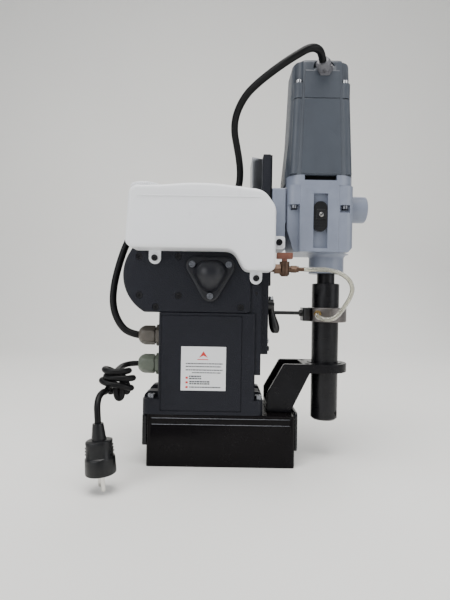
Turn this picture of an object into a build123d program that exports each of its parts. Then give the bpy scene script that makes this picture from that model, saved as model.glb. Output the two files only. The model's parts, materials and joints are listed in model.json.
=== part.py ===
"""Magnetic drill press: magnet base, column with a dovetail slide, motor head, rack feed and coolant.

Millimetres, +Z up. The origin is the centre of the magnet's bottom face. +X is the front, where the
spindle is, and -Y is the side that carries the coolant tank.
"""

from build123d import *
import math
import os

os.makedirs("parts", exist_ok=True)

# ---- Driving dimensions ----
MAGNET_LENGTH = 200.0
MAGNET_WIDTH = 100.0
MAGNET_HEIGHT = 70.0
MAGNET_END = MAGNET_LENGTH / 2
COIL_TOP = 45.0
COIL_RING = ((156.0, 76.0, 20.0), (112.0, 32.0, 8.0))  # outer and inner length, width, radius

BOX_REAR = -85.6
BOX_FRONT = 45.0
BOX_TOP = 207.0
HALF_WIDTH = 50.0
WALL = 6.0
FOOT_TOP = 90.0
COLUMN_SCREWS = [(-95.0, -40.0), (-95.0, 40.0), (50.5, -40.0), (50.5, 40.0)]
BRACKET_SCREWS = [(78.0, -14.0), (78.0, 14.0)]
BRACKET_FLOOR = 80.0

WAYS_REAR = 30.0
WAYS_FRONT = 52.5
WAYS_HALF = 46.0
WAYS_BOTTOM = 124.0
WAYS_TOP = 366.0

TRAVEL = 50.0
SLIDE_REAR = 38.0
SLIDE_NECK = 53.0
SLIDE_FRONT = 63.0
SLIDE_BOTTOM = 151.0
SLIDE_TOP = 427.5
DOVETAIL_REAR_HALF = 25.0
DOVETAIL_NECK_HALF = 16.5
FLANK = (DOVETAIL_REAR_HALF - DOVETAIL_NECK_HALF) / (SLIDE_NECK - SLIDE_REAR)
FLANK_SHIFT = math.hypot(1, FLANK)  # sideways shift of a flank for each millimetre of offset
SLIDE_GAP = 0.1
GIB_THICKNESS = 3.0

FEED_X = -17.0
FEED_Z = 258.0
PINION_X = 27.0
FEED_MODULE = 2.0
FEED_GEAR_TEETH = 26
PINION_GEAR_TEETH = 18
RACK_MODULE = 1.25
RACK_PINION_TEETH = 14
GEAR_NEAR = 30.0
GEAR_FAR = 38.0
FEED_TOP = 336.0
COVER_BACK = -36.0

MOTOR_X = 132.0
SPINDLE_X = 149.0
DRIVE_MODULE = 1.0
ARMATURE_TEETH = 10
LAYSHAFT_TEETH = 30
LAYSHAFT_PINION_TEETH = 16
SPINDLE_TEETH = 40
GEARBOX_BOTTOM = 293.0
GEARBOX_TOP = 384.0
FLANGE_TOP = 397.6
MOTOR_SEAM = 503.0
MOTOR_TOP = 558.0
ARBOR_BOTTOM = 56.0
ARBOR_TOP = 217.0
ARBOR_RADIUS = 19.0
SPINDLE_RADIUS = 12.65
SHANK_RADIUS = 9.54

RING_BOTTOM = 125.0
RING_TOP = 137.5
COLLAR_BOTTOM = 196.0
COLLAR_TOP = 216.5
ROD_Z = 208.0

GLAND_Y = -20.0
MOTOR_GLAND_Z = 174.0
MAINS_GLAND_Z = 134.0
GLAND_END = -117.0

MOTOR_CABLE_DIAMETER = 10.0
MAINS_CORD_DIAMETER = 7.6
HOSE_DIAMETER = 6.0
VALVE_Y = -70.0
VALVE_Z = 266.5
VALVE_X = 79.6

ALONG_X = (0, 90, 0)
ALONG_Y = (90, 0, 0)


# ---- Helpers ----
def write(builder, name):
    """Label a finished piece and write it as one STEP file."""
    builder.part.label = name
    export_step(builder.part, f"parts/{name}.step")


def side_plane(y):
    """The plane at this y whose sketches read X to the right and Z up, and which extrudes towards -Y."""
    return Plane.XZ.offset(-y)


def bar_x(x_from, x_to, y, z, radius, mode=Mode.ADD):
    """A round bar along X in the part being built."""
    with Locations(((x_from + x_to) / 2, y, z)):
        Cylinder(radius, x_to - x_from, rotation=ALONG_X, mode=mode)


def bar_y(x, z, y_from, y_to, radius, mode=Mode.ADD):
    """A round bar along Y in the part being built."""
    with Locations((x, (y_from + y_to) / 2, z)):
        Cylinder(radius, y_to - y_from, rotation=ALONG_Y, mode=mode)


def bar_z(x, y, z_from, z_to, radius, mode=Mode.ADD):
    """A round bar along Z in the part being built."""
    with Locations((x, y, (z_from + z_to) / 2)):
        Cylinder(radius, z_to - z_from, mode=mode)


def block(x_span, y_span, z_span, mode=Mode.ADD):
    """A box between two values on each axis in the part being built."""
    spans = (x_span, y_span, z_span)
    with Locations(tuple(sum(span) / 2 for span in spans)):
        Box(*(span[1] - span[0] for span in spans), mode=mode)


def gear_face(plane, centre, teeth, module, phase):
    """A spur gear's outline on a plane, with a tooth centred at the phase angle in degrees."""
    pitch_radius = teeth * module / 2
    tooth = math.pi * module
    root, tip = pitch_radius - 1.2 * module, pitch_radius + 0.9 * module
    corners = [
        (root, -0.33 * tooth), (pitch_radius, -0.215 * tooth), (tip, -0.09 * tooth),
        (tip, 0.09 * tooth), (pitch_radius, 0.215 * tooth), (root, 0.33 * tooth),
    ]
    outline = []
    for number in range(teeth):
        middle = math.radians(phase) + 2 * math.pi * number / teeth
        for radius, half in corners:
            angle = middle + half / radius
            outline.append((centre[0] + radius * math.cos(angle), centre[1] + radius * math.sin(angle)))
    with BuildSketch(plane) as face:
        with BuildLine():
            Polyline(*outline, close=True)
        make_face()
    return face.sketch


def cap_screws(places, seat, shank_radius, length, head_radius, head_height):
    """Socket head screws pointing down, their heads' undersides at the seat height."""
    for x, y in places:
        bar_z(x, y, seat - length, seat, shank_radius)
        bar_z(x, y, seat, seat + head_height, head_radius)
        with Locations((x, y, seat + head_height - head_height / 4)):
            Cylinder(head_radius * 0.5, head_height / 2, mode=Mode.SUBTRACT)


def fillet_radii(points):
    """The arc for each corner of a cord's route, as large as its two runs allow."""
    radii = []
    for before, corner, after in zip(points, points[1:], points[2:]):
        run_in = Vector(*corner) - Vector(*before)
        run_out = Vector(*after) - Vector(*corner)
        turn = math.radians(run_in.get_angle(run_out))
        radii.append(0.45 * min(run_in.length, run_out.length) / math.tan(turn / 2))
    return radii


def cord_tube(points, diameter, name):
    """A round tube along straight runs joined by tangent arcs."""
    radii = fillet_radii(points)
    with BuildLine() as route:
        FilletPolyline(*points, radius=radii)
    wire = route.wires()[0]
    start = Plane(origin=wire @ 0, z_dir=wire % 0)
    with BuildSketch(start) as section:
        Circle(diameter / 2)
    with BuildPart() as tube:
        sweep(section.sketch, path=wire)
    expected = math.pi * (diameter / 2) ** 2 * wire.length
    print(f"{name}: {wire.length:.0f} mm, volume {tube.part.volume / expected:.4f} of section times length")
    print("  radii", [round(radius) for radius in radii])
    return tube


# ---- Magnet base ----
with BuildPart() as magnet_shell:
    with Locations((0, 0, MAGNET_HEIGHT / 2)):
        Box(MAGNET_LENGTH, MAGNET_WIDTH, MAGNET_HEIGHT)
    fillet(magnet_shell.edges().filter_by(Axis.Z), 4)
    outer_ring, inner_ring = COIL_RING
    with BuildSketch():
        RectangleRounded(*outer_ring)
        RectangleRounded(*inner_ring, mode=Mode.SUBTRACT)
    extrude(amount=COIL_TOP, mode=Mode.SUBTRACT)
    for side in (-1, 1):
        band = sorted((side * (HALF_WIDTH - 1.5), side * (HALF_WIDTH + 1)))
        block((-94, 94), band, (57, 65), mode=Mode.SUBTRACT)
    for x, y in COLUMN_SCREWS:
        bar_z(x, y, FOOT_TOP - 33, MAGNET_HEIGHT + 1, 3.1, mode=Mode.SUBTRACT)
    for x, y in BRACKET_SCREWS:
        bar_z(x, y, BRACKET_FLOOR - 33, MAGNET_HEIGHT + 1, 3.1, mode=Mode.SUBTRACT)
write(magnet_shell, "magnet_shell")

with BuildPart() as magnet_coil:
    with BuildSketch(Plane.XY.offset(0.5)):
        RectangleRounded(outer_ring[0] - 1, outer_ring[1] - 1, outer_ring[2] - 0.5)
        RectangleRounded(inner_ring[0] + 1, inner_ring[1] + 1, inner_ring[2] + 0.5, mode=Mode.SUBTRACT)
    extrude(amount=COIL_TOP - 1)
write(magnet_coil, "magnet_coil")

with BuildPart() as end_plates:
    with BuildSketch(Plane.YZ.offset(MAGNET_END)):
        with Locations((0, 47.5)):
            RectangleRounded(92, 53, 5)
    extrude(amount=4)
    with BuildSketch(Plane.YZ.offset(-MAGNET_END - 6)):
        with Locations((0, 48.5)):
            RectangleRounded(96, 43, 4)
    extrude(amount=6)
write(end_plates, "end_plates")

with BuildPart() as magnet_screws:
    cap_screws(COLUMN_SCREWS, FOOT_TOP, 3, 32, 5, 6)
    cap_screws(BRACKET_SCREWS, BRACKET_FLOOR, 3, 32, 5, 6)
write(magnet_screws, "magnet_screws")


# ---- Column ----
def slot_corners(near_shift, far_shift):
    """The dovetail slot's outline, each flank moved out from the slide's own flank."""
    floor = SLIDE_REAR - 0.5
    mouth = SLIDE_NECK + 1
    floor_half = DOVETAIL_REAR_HALF + FLANK * 0.5
    mouth_half = DOVETAIL_NECK_HALF - FLANK
    near, far = near_shift * FLANK_SHIFT, far_shift * FLANK_SHIFT
    return [
        (floor, -floor_half - near), (mouth, -mouth_half - near),
        (mouth, mouth_half + far), (floor, floor_half + far),
    ]


with BuildPart() as column_casting:
    block((BOX_REAR, BOX_FRONT), (-HALF_WIDTH, HALF_WIDTH), (MAGNET_HEIGHT, BOX_TOP))
    fillet(column_casting.edges().filter_by(Axis.Z), 4)
    block((22, WAYS_FRONT), (-WAYS_HALF, WAYS_HALF), (WAYS_BOTTOM, BOX_TOP))
    block((WAYS_REAR, WAYS_FRONT), (-WAYS_HALF, WAYS_HALF), (BOX_TOP - 1, WAYS_TOP))
    # Feet, with rounded ribs between the two screws of each.
    with BuildSketch(Plane.XY.offset(MAGNET_HEIGHT)):
        with Locations((-24.9, 0)):
            RectangleRounded(163.2, 100, 9)
    extrude(amount=FOOT_TOP - MAGNET_HEIGHT)
    for far in (-15, 33):
        with BuildSketch(side_plane(far)):
            with BuildLine():
                Line((BOX_REAR + 1, 80), (-106.5, 80))
                Line((-106.5, 80), (-106.5, 89))
                RadiusArc((-106.5, 89), (-97.5, 98), 9)
                Line((-97.5, 98), (BOX_REAR + 1, 98))
                Line((BOX_REAR + 1, 98), (BOX_REAR + 1, 80))
            make_face()
        extrude(amount=18)
    with BuildSketch(side_plane(28)):
        with BuildLine():
            Line((BOX_FRONT - 1, 80), (BOX_FRONT - 1, 98))
            Line((BOX_FRONT - 1, 98), (50.7, 98))
            RadiusArc((50.7, 98), (56.7, 92), 6)
            Line((56.7, 92), (56.7, 80))
            Line((56.7, 80), (BOX_FRONT - 1, 80))
        make_face()
    extrude(amount=56)
    # Electronics cavity, its near opening with the cover's seat, and the far opening of the panel.
    block((BOX_REAR + WALL, 22), (-44, 44), (80, BOX_TOP - WALL), mode=Mode.SUBTRACT)
    block((-78, 20), (-HALF_WIDTH - 1, -43), (82, 196), mode=Mode.SUBTRACT)
    block((-82.3, 27), (-HALF_WIDTH - 1, -48), (74.7, 203.9), mode=Mode.SUBTRACT)
    block((-55, 5), (43, HALF_WIDTH + 1), (115, 175), mode=Mode.SUBTRACT)
    for height in (MOTOR_GLAND_Z, MAINS_GLAND_Z):
        bar_x(BOX_REAR - 1, BOX_REAR + WALL + 1, GLAND_Y, height, 8.1, mode=Mode.SUBTRACT)
    for x, y in COLUMN_SCREWS:
        bar_z(x, y, MAGNET_HEIGHT - 1, FOOT_TOP + 1, 3.1, mode=Mode.SUBTRACT)
        bar_z(x, y, FOOT_TOP, FOOT_TOP + 12, 5.4, mode=Mode.SUBTRACT)
    # Dovetail slot, the groove for the rack, and room for the pinion shaft and its gear.
    with BuildSketch(Plane.XY.offset(SLIDE_BOTTOM - TRAVEL - 6)):
        with BuildLine():
            Polyline(*slot_corners(GIB_THICKNESS + 2 * SLIDE_GAP, SLIDE_GAP), close=True)
        make_face()
    extrude(amount=WAYS_TOP, mode=Mode.SUBTRACT)
    block((33.8, 40), (-9, 9), (SLIDE_BOTTOM - TRAVEL - 6, WAYS_TOP + 1), mode=Mode.SUBTRACT)
    block((28, 38), (-10, 10), (FEED_Z - 13, FEED_Z + 13), mode=Mode.SUBTRACT)
    block((28, 48.5), (GEAR_NEAR - 1.5, GEAR_FAR + 1.5), (FEED_Z - 22, FEED_Z + 22), mode=Mode.SUBTRACT)
    for lug in ((-26, -16), (16, 26)):
        block((16, WAYS_REAR + 1), lug, (FEED_Z - 12, FEED_Z + 12))
    bar_y(PINION_X, FEED_Z, -30, 29, 6.05, mode=Mode.SUBTRACT)
    bar_y(44, 254.6, -HALF_WIDTH, -WAYS_HALF + 1, 5.8)
    bar_y(44, 254.6, -HALF_WIDTH - 1, -38, 2.6, mode=Mode.SUBTRACT)
    bar_y(45, 303, -HALF_WIDTH, -38, 2.6, mode=Mode.SUBTRACT)
    for height in (140.0, 235.0, 330.0):
        bar_y(45.5, height, -WAYS_HALF - 1, -20, 2.05, mode=Mode.SUBTRACT)
write(column_casting, "column_casting")

with BuildPart() as side_cover:
    with BuildSketch(side_plane(-48)):
        with Locations((-27.65, 139.3)):
            RectangleRounded(108.7, 128.6, 3)
    extrude(amount=2.6)
    chamfer(side_cover.faces().sort_by(Axis.Y)[0].edges(), 0.6)
write(side_cover, "side_cover")

with BuildPart() as rating_label:
    block((-54.5, 5.7), (-50.9, -50.6), (103, 162))
write(rating_label, "rating_label")

with BuildPart() as control_board:
    block((-70, 10), (20, 22), (88, 190))
    block((-60, -30), (8, 20), (100, 130))
    block((-20, 0), (4, 20), (95, 112))
    bar_y(-12, 165, 0, 20, 9)
    block((-62, -40), (10, 20), (150, 180))
write(control_board, "control_board")

with BuildPart() as gib_strip:
    near_side = (SLIDE_GAP + GIB_THICKNESS) * FLANK_SHIFT
    slide_side = SLIDE_GAP * FLANK_SHIFT
    with BuildSketch(Plane.XY.offset(WAYS_BOTTOM + 0.5)):
        with BuildLine():
            Polyline(
                (SLIDE_REAR, -DOVETAIL_REAR_HALF - near_side),
                (WAYS_FRONT, -DOVETAIL_NECK_HALF - FLANK / 2 - near_side),
                (WAYS_FRONT, -DOVETAIL_NECK_HALF - FLANK / 2 - slide_side),
                (SLIDE_REAR, -DOVETAIL_REAR_HALF - slide_side),
                close=True,
            )
        make_face()
    extrude(amount=WAYS_TOP - WAYS_BOTTOM - 1)
write(gib_strip, "gib_strip")

with BuildPart() as gib_screws:
    for height in (140.0, 235.0, 330.0):
        bar_y(45.5, height, -WAYS_HALF + 0.5, -27, 2)
write(gib_screws, "gib_screws")

with BuildPart() as cable_glands:
    for height in (MOTOR_GLAND_Z, MAINS_GLAND_Z):
        bore = (MOTOR_CABLE_DIAMETER if height == MOTOR_GLAND_Z else MAINS_CORD_DIAMETER) / 2 + 0.1
        bar_x(BOX_REAR - 2, BOX_REAR + 12, GLAND_Y, height, 8)
        with BuildSketch(Plane.YZ.offset(BOX_REAR)):
            with Locations((GLAND_Y, height)):
                RegularPolygon(15, 6, rotation=30)
        extrude(amount=-6.5)
        bar_x(-112, BOX_REAR - 6, GLAND_Y, height, 12.2)
        with Locations(Plane(origin=(-112, GLAND_Y, height), z_dir=(-1, 0, 0))):
            Cone(12.2, 8.8, -GLAND_END - 112, align=(Align.CENTER, Align.CENTER, Align.MIN))
        bar_x(GLAND_END - 1, BOX_REAR + 13, GLAND_Y, height, bore, mode=Mode.SUBTRACT)
write(cable_glands, "cable_glands")

# ---- Feed housing, above the electronics box ----
REAR_ARC = [(-105.5, BOX_TOP + 0.2), (-134.8, 253), (-128.3, 284.5)]
COVER_SCREWS = [(-112, 230), (-59.5, 230), (-90, 214.6), (24.5, 215.4), (-113, 282), (-60.4, 283)]
FEED_BEARING_RADIUS = 14.0


def feed_outline(front):
    """The corner points and the rear arc of the feed housing's side view, up to this front edge."""
    Line((front, BOX_TOP + 0.2), REAR_ARC[0])
    ThreePointArc(*REAR_ARC)
    Line(REAR_ARC[2], (-104, FEED_TOP - 10))
    Line((-104, FEED_TOP - 10), (-88, FEED_TOP))
    Line((-88, FEED_TOP), (front, FEED_TOP))
    Line((front, FEED_TOP), (front, BOX_TOP + 0.2))


with BuildPart() as feed_housing:
    with BuildSketch(side_plane(HALF_WIDTH)) as feed_profile:
        with BuildLine():
            feed_outline(WAYS_REAR)
        make_face()
    extrude(amount=HALF_WIDTH - COVER_BACK)
    with BuildSketch(side_plane(HALF_WIDTH - WALL)):
        offset(feed_profile.sketch, amount=-WALL)
    extrude(amount=HALF_WIDTH - WALL - COVER_BACK + 1, mode=Mode.SUBTRACT)
    for x, z in COVER_SCREWS:
        bar_y(x, z, COVER_BACK, HALF_WIDTH - WALL + 1, 5)
    for x, z in COVER_SCREWS:
        bar_y(x, z, COVER_BACK - 1, COVER_BACK + 12, 2.6, mode=Mode.SUBTRACT)
    # Room for the ways block behind, and for the gear and lugs of the pinion shaft.
    block((13, WAYS_REAR + 1), (-30, 41), (FEED_Z - 24, FEED_Z + 24), mode=Mode.SUBTRACT)
    bar_y(FEED_X, FEED_Z, 39.5, 45, 19)
    bar_y(FEED_X, FEED_Z, 39, HALF_WIDTH - 2, FEED_BEARING_RADIUS + 0.05, mode=Mode.SUBTRACT)
    bar_y(FEED_X, FEED_Z, 39, HALF_WIDTH + 1, 9, mode=Mode.SUBTRACT)
write(feed_housing, "feed_housing")

with BuildPart() as feed_cover:
    with BuildSketch(side_plane(COVER_BACK)):
        with BuildLine():
            feed_outline(WAYS_REAR - 0.5)
        make_face()
    extrude(amount=HALF_WIDTH + COVER_BACK)
    block((WAYS_REAR - 4, 38), (-HALF_WIDTH, -WAYS_HALF), (BOX_TOP + 0.2, FEED_TOP))
    fillet(feed_cover.edges().filter_by(Axis.Y).group_by(Axis.X)[-1].sort_by(Axis.Z)[0], 6)
    fillet(feed_cover.faces().sort_by(Axis.Y)[0].edges(), 3)
    for x, z in COVER_SCREWS:
        bar_y(x, z, -HALF_WIDTH - 1, -HALF_WIDTH + 5.5, 4.6, mode=Mode.SUBTRACT)
        bar_y(x, z, -HALF_WIDTH - 1, COVER_BACK + 1, 2.6, mode=Mode.SUBTRACT)
    bar_y(FEED_X, FEED_Z, -45.5, COVER_BACK + 1, FEED_BEARING_RADIUS + 0.05, mode=Mode.SUBTRACT)
    bar_y(FEED_X, FEED_Z, -HALF_WIDTH - 1, COVER_BACK, 9, mode=Mode.SUBTRACT)
    for angle in (30, 150, 270):
        x = FEED_X + 28 * math.cos(math.radians(angle))
        z = FEED_Z + 28 * math.sin(math.radians(angle))
        bar_y(x, z, -HALF_WIDTH - 1, -40, 2.6, mode=Mode.SUBTRACT)
    bar_y(-91.6, 279.8, -HALF_WIDTH - 1, -40, 2.6, mode=Mode.SUBTRACT)
write(feed_cover, "feed_cover")

CAP_SCREWS = [
    (FEED_X + 28 * math.cos(math.radians(angle)), FEED_Z + 28 * math.sin(math.radians(angle)))
    for angle in (30, 150, 270)
]
with BuildPart() as bearing_cap:
    with BuildSketch(side_plane(-HALF_WIDTH)):
        with Locations(*CAP_SCREWS):
            Circle(8.6)
        make_hull()
    extrude(amount=6)
    fillet(bearing_cap.faces().sort_by(Axis.Y)[0].edges(), 1.5)
    with BuildSketch(Plane(origin=(FEED_X, -HALF_WIDTH - 5, FEED_Z), x_dir=(1, 0, 0), z_dir=(0, 0, 1))):
        with BuildLine():
            Line((0, 0), (22, 0))
            Spline((22, 0), (19, -12), (0, -20), tangents=((-0.1, -1), (-1, 0)))
            Line((0, -20), (0, 0))
        make_face()
    revolve(axis=Axis((FEED_X, 0, FEED_Z), (0, 1, 0)))
    bar_y(FEED_X, FEED_Z, -67, -HALF_WIDTH + 1, 10, mode=Mode.SUBTRACT)
    for x, z in CAP_SCREWS:
        bar_y(x, z, -60, -HALF_WIDTH + 1, 2.6, mode=Mode.SUBTRACT)
        bar_y(x, z, -66, -HALF_WIDTH - 5.5, 4.6, mode=Mode.SUBTRACT)
write(bearing_cap, "bearing_cap")

TANK_EARS = [(-91.6, 279.8), (44.0, 254.6), (74.0, 303.0)]
EAR_FACE = -54.0
with BuildPart() as cover_screws:
    seats = [(x, z, -HALF_WIDTH + 5.5) for x, z in COVER_SCREWS]
    seats += [(x, z, -HALF_WIDTH - 5.5) for x, z in CAP_SCREWS]
    seats += [(x, z, EAR_FACE) for x, z in TANK_EARS]
    seats.append((45.0, 303.0, -HALF_WIDTH))
    for x, z, seat in seats:
        length = 7.5 if (x, z) == TANK_EARS[2] else 12
        bar_y(x, z, seat, seat + length, 2.5)
        bar_y(x, z, seat - 4.5, seat, 4.25)
        bar_y(x, z, seat - 5, seat - 2.2, 2.1, mode=Mode.SUBTRACT)
write(cover_screws, "cover_screws")

with BuildPart() as shaft_bearings:
    for y_from, y_to in ((-45.4, -36.4), (39.2, 47.9)):
        bar_y(FEED_X, FEED_Z, y_from, y_to, FEED_BEARING_RADIUS)
        bar_y(FEED_X, FEED_Z, y_from - 1, y_to + 1, 8.04, mode=Mode.SUBTRACT)
write(shaft_bearings, "shaft_bearings")

# ---- Feed shaft, handle, pinion shaft and rack ----
with BuildPart() as feed_shaft:
    bar_y(FEED_X, FEED_Z, -60, 84, 8)
    extrude(gear_face(side_plane(GEAR_FAR), (FEED_X, FEED_Z), FEED_GEAR_TEETH, FEED_MODULE, 0),
            amount=GEAR_FAR - GEAR_NEAR)
write(feed_shaft, "feed_shaft")

HUB_NEAR = 58.0
HUB_FAR = 88.0
SPOKE_START = 76.0
SPOKE_TILT = math.radians(12)
SPOKE_LENGTH = 112.0
SPOKE_ANGLES = (30, 150, 270)


def spoke_plane(angle, along):
    """A plane square to a spoke of the feed handle, at a distance along it from the shaft's axis."""
    out = Vector(
        math.cos(math.radians(angle)) * math.cos(SPOKE_TILT), math.sin(SPOKE_TILT),
        math.sin(math.radians(angle)) * math.cos(SPOKE_TILT),
    )
    return Plane(origin=Vector(FEED_X, SPOKE_START, FEED_Z) + out * along, z_dir=out)


with BuildPart() as handle_hub:
    bar_y(FEED_X, FEED_Z, HUB_NEAR, HUB_FAR, 20)
    fillet(handle_hub.edges().filter_by(GeomType.CIRCLE), 3)
    for angle in SPOKE_ANGLES:
        with BuildSketch(spoke_plane(angle, 10)):
            Circle(5)
        extrude(amount=SPOKE_LENGTH - 10)
    bar_y(FEED_X, FEED_Z, HUB_NEAR - 1, 84.5, 8.02, mode=Mode.SUBTRACT)
write(handle_hub, "handle_hub")

with BuildPart() as handle_grips:
    for angle in SPOKE_ANGLES:
        with BuildSketch(spoke_plane(angle, SPOKE_LENGTH - 26)):
            Circle(8.5)
        with BuildSketch(spoke_plane(angle, SPOKE_LENGTH - 4)):
            Circle(12)
        with BuildSketch(spoke_plane(angle, SPOKE_LENGTH + 10)):
            Circle(8)
        loft()
        with BuildSketch(spoke_plane(angle, SPOKE_LENGTH - 30)):
            Circle(5.05)
        extrude(amount=30.1, mode=Mode.SUBTRACT)
write(handle_grips, "handle_grips")

RACK_PITCH_X = PINION_X + RACK_MODULE * RACK_PINION_TEETH / 2
with BuildPart() as pinion_shaft:
    bar_y(PINION_X, FEED_Z, -25, GEAR_FAR + 1, 6)
    extrude(gear_face(side_plane(GEAR_FAR), (PINION_X, FEED_Z), PINION_GEAR_TEETH, FEED_MODULE, 190),
            amount=GEAR_FAR - GEAR_NEAR)
    extrude(gear_face(side_plane(8), (PINION_X, FEED_Z), RACK_PINION_TEETH, RACK_MODULE, 0), amount=16)
write(pinion_shaft, "pinion_shaft")

RACK_BOTTOM = 236.0
RACK_TOP = 330.0
with BuildPart() as feed_rack:
    with BuildSketch(side_plane(7)):
        with Locations(((37.2 + 44.5) / 2, (RACK_BOTTOM + RACK_TOP) / 2)):
            Rectangle(44.5 - 37.2, RACK_TOP - RACK_BOTTOM)
        pitch = math.pi * RACK_MODULE
        root, tip = 37.25, RACK_PITCH_X - 0.9 * RACK_MODULE
        for number in range(-5, 18):
            middle = FEED_Z + (number + 0.5) * pitch
            with BuildLine():
                Polyline(
                    (root, middle - 0.34 * pitch), (RACK_PITCH_X, middle - 0.215 * pitch),
                    (tip, middle - 0.1 * pitch), (tip, middle + 0.1 * pitch),
                    (RACK_PITCH_X, middle + 0.215 * pitch), (root, middle + 0.34 * pitch), close=True,
                )
            make_face()
    extrude(amount=14)
write(feed_rack, "feed_rack")

# ---- Carriage ----
with BuildPart() as carriage_slide:
    block((SLIDE_NECK, SLIDE_FRONT), (-34.5, 34.5), (SLIDE_BOTTOM, SLIDE_TOP))
    fillet(carriage_slide.edges().filter_by(Axis.X), 2)
    with BuildSketch(Plane.XY.offset(SLIDE_BOTTOM)):
        with BuildLine():
            Polyline(
                (SLIDE_REAR, -DOVETAIL_REAR_HALF), (SLIDE_NECK + 1, -DOVETAIL_NECK_HALF + FLANK),
                (SLIDE_NECK + 1, DOVETAIL_NECK_HALF - FLANK), (SLIDE_REAR, DOVETAIL_REAR_HALF), close=True,
            )
        make_face()
    extrude(amount=SLIDE_TOP - SLIDE_BOTTOM - 1.5)
    block((SLIDE_FRONT - 1, 66), (-30, 30), (251, SLIDE_TOP))
    block((SLIDE_REAR - 1, 44.6), (-7.1, 7.1), (RACK_BOTTOM - 0.1, RACK_TOP + 0.1), mode=Mode.SUBTRACT)
    bar_x(SLIDE_FRONT - 8, SLIDE_FRONT + 1, 0, ROD_Z, 2.65, mode=Mode.SUBTRACT)
    bar_x(SLIDE_FRONT - 8, SLIDE_FRONT + 1, -14, 219, 4.1, mode=Mode.SUBTRACT)
write(carriage_slide, "carriage_slide")

with BuildPart() as motor_bracket:
    with BuildSketch(side_plane(36)):
        with BuildLine():
            Polyline((66, 312), (84, 295), (84, 381), (66, 381), close=True)
        make_face()
    extrude(amount=72)
    fillet(motor_bracket.edges().filter_by(Axis.X), 3)
write(motor_bracket, "motor_bracket")

LOWER_SCREWS = [(96.0, -35.0), (96.0, 35.0), (166.0, -35.0), (166.0, 35.0)]
UPPER_SCREWS = [(100.5, -33.0), (100.5, 33.0), (163.5, -33.0), (163.5, 33.0)]
LOWER_SEAT = 357.5
UPPER_SEAT = 525.0
BEARING_RADIUS = 21.0
layshaft_along = (20**2 - 28**2 + (SPINDLE_X - MOTOR_X) ** 2) / (2 * (SPINDLE_X - MOTOR_X))
LAYSHAFT = (MOTOR_X + layshaft_along, math.sqrt(20**2 - layshaft_along**2))

with BuildPart() as gearbox_housing:
    with BuildSketch(Plane.XY.offset(GEARBOX_BOTTOM)):
        with Locations((MOTOR_X, 0)):
            RectangleRounded(92, 82, 12)
        with Locations((130, 0)):
            RectangleRounded(54, 84, 2)
    extrude(amount=GEARBOX_TOP - GEARBOX_BOTTOM)
    block((84, 87), (-30, 30), (333, 381))
    with BuildSketch(side_plane(45)):
        with BuildLine():
            Polyline((80, 333), (84, 333), (96.5, 293), (96.5, 290), (80, 290), close=True)
        make_face()
    extrude(amount=90, mode=Mode.SUBTRACT)
    with BuildSketch(side_plane(45)):
        with BuildLine():
            Polyline((170, 293), (178, 301), (180, 301), (180, 290), (170, 290), close=True)
        make_face()
    extrude(amount=90, mode=Mode.SUBTRACT)
    bar_z(SPINDLE_X, 0, 265.5, GEARBOX_BOTTOM + 1, 24.75)
    bar_x(177, 204, 0, 359, 19)
    fillet(gearbox_housing.faces().sort_by(Axis.X)[-1].edges(), 3)
    # Corner recesses under the screw bosses, the selector's recess, then the inside.
    for side in (-1, 1):
        outside = sorted((side * 34.5, side * 50))
        block((80, 103), outside, (280, LOWER_SEAT), mode=Mode.SUBTRACT)
        block((158, 172), outside, (347, LOWER_SEAT), mode=Mode.SUBTRACT)
    block((121.7, 141.2), (-50, -35.5), (298, 372.6), mode=Mode.SUBTRACT)
    block((93, 172), (-27, 27), (334, GEARBOX_TOP + 1), mode=Mode.SUBTRACT)
    block((110, 150), (20, 36.8), (334, GEARBOX_TOP + 1), mode=Mode.SUBTRACT)
    for x, y in LOWER_SCREWS:
        bar_z(x, y, LOWER_SEAT, GEARBOX_TOP, 5.5)
    for x, y in LOWER_SCREWS:
        bar_z(x, y, LOWER_SEAT - 1, GEARBOX_TOP + 1, 2.6, mode=Mode.SUBTRACT)
        bar_z(x, y, LOWER_SEAT - 7, LOWER_SEAT, 4.6, mode=Mode.SUBTRACT)
    bar_z(SPINDLE_X, 0, 268, 280, BEARING_RADIUS + 0.05, mode=Mode.SUBTRACT)
    bar_z(SPINDLE_X, 0, 322, 335, BEARING_RADIUS + 0.05, mode=Mode.SUBTRACT)
    bar_z(SPINDLE_X, 0, 260, 335, 14, mode=Mode.SUBTRACT)
    bar_z(*LAYSHAFT, 326, 335, 5.05, mode=Mode.SUBTRACT)
write(gearbox_housing, "gearbox_housing")

with BuildPart() as motor_flange:
    with BuildSketch(Plane.XY.offset(GEARBOX_TOP)):
        with Locations((MOTOR_X, 0)):
            RectangleRounded(92, 84, 22)
    extrude(amount=FLANGE_TOP - GEARBOX_TOP)
    bar_z(MOTOR_X, 0, 392, FLANGE_TOP + 1, 35, mode=Mode.SUBTRACT)
    bar_z(MOTOR_X, 0, GEARBOX_TOP - 1, 393, 11.05, mode=Mode.SUBTRACT)
    bar_z(*LAYSHAFT, GEARBOX_TOP - 1, 390, 5.05, mode=Mode.SUBTRACT)
    block((109, 153), (-45, -30), (390.6, FLANGE_TOP + 1), mode=Mode.SUBTRACT)
    block((109, 153), (30, 45), (390.6, FLANGE_TOP + 1), mode=Mode.SUBTRACT)
    for x, y in LOWER_SCREWS:
        bar_z(x, y, GEARBOX_TOP - 1, FLANGE_TOP + 1, 2.6, mode=Mode.SUBTRACT)
write(motor_flange, "motor_flange")

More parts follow.
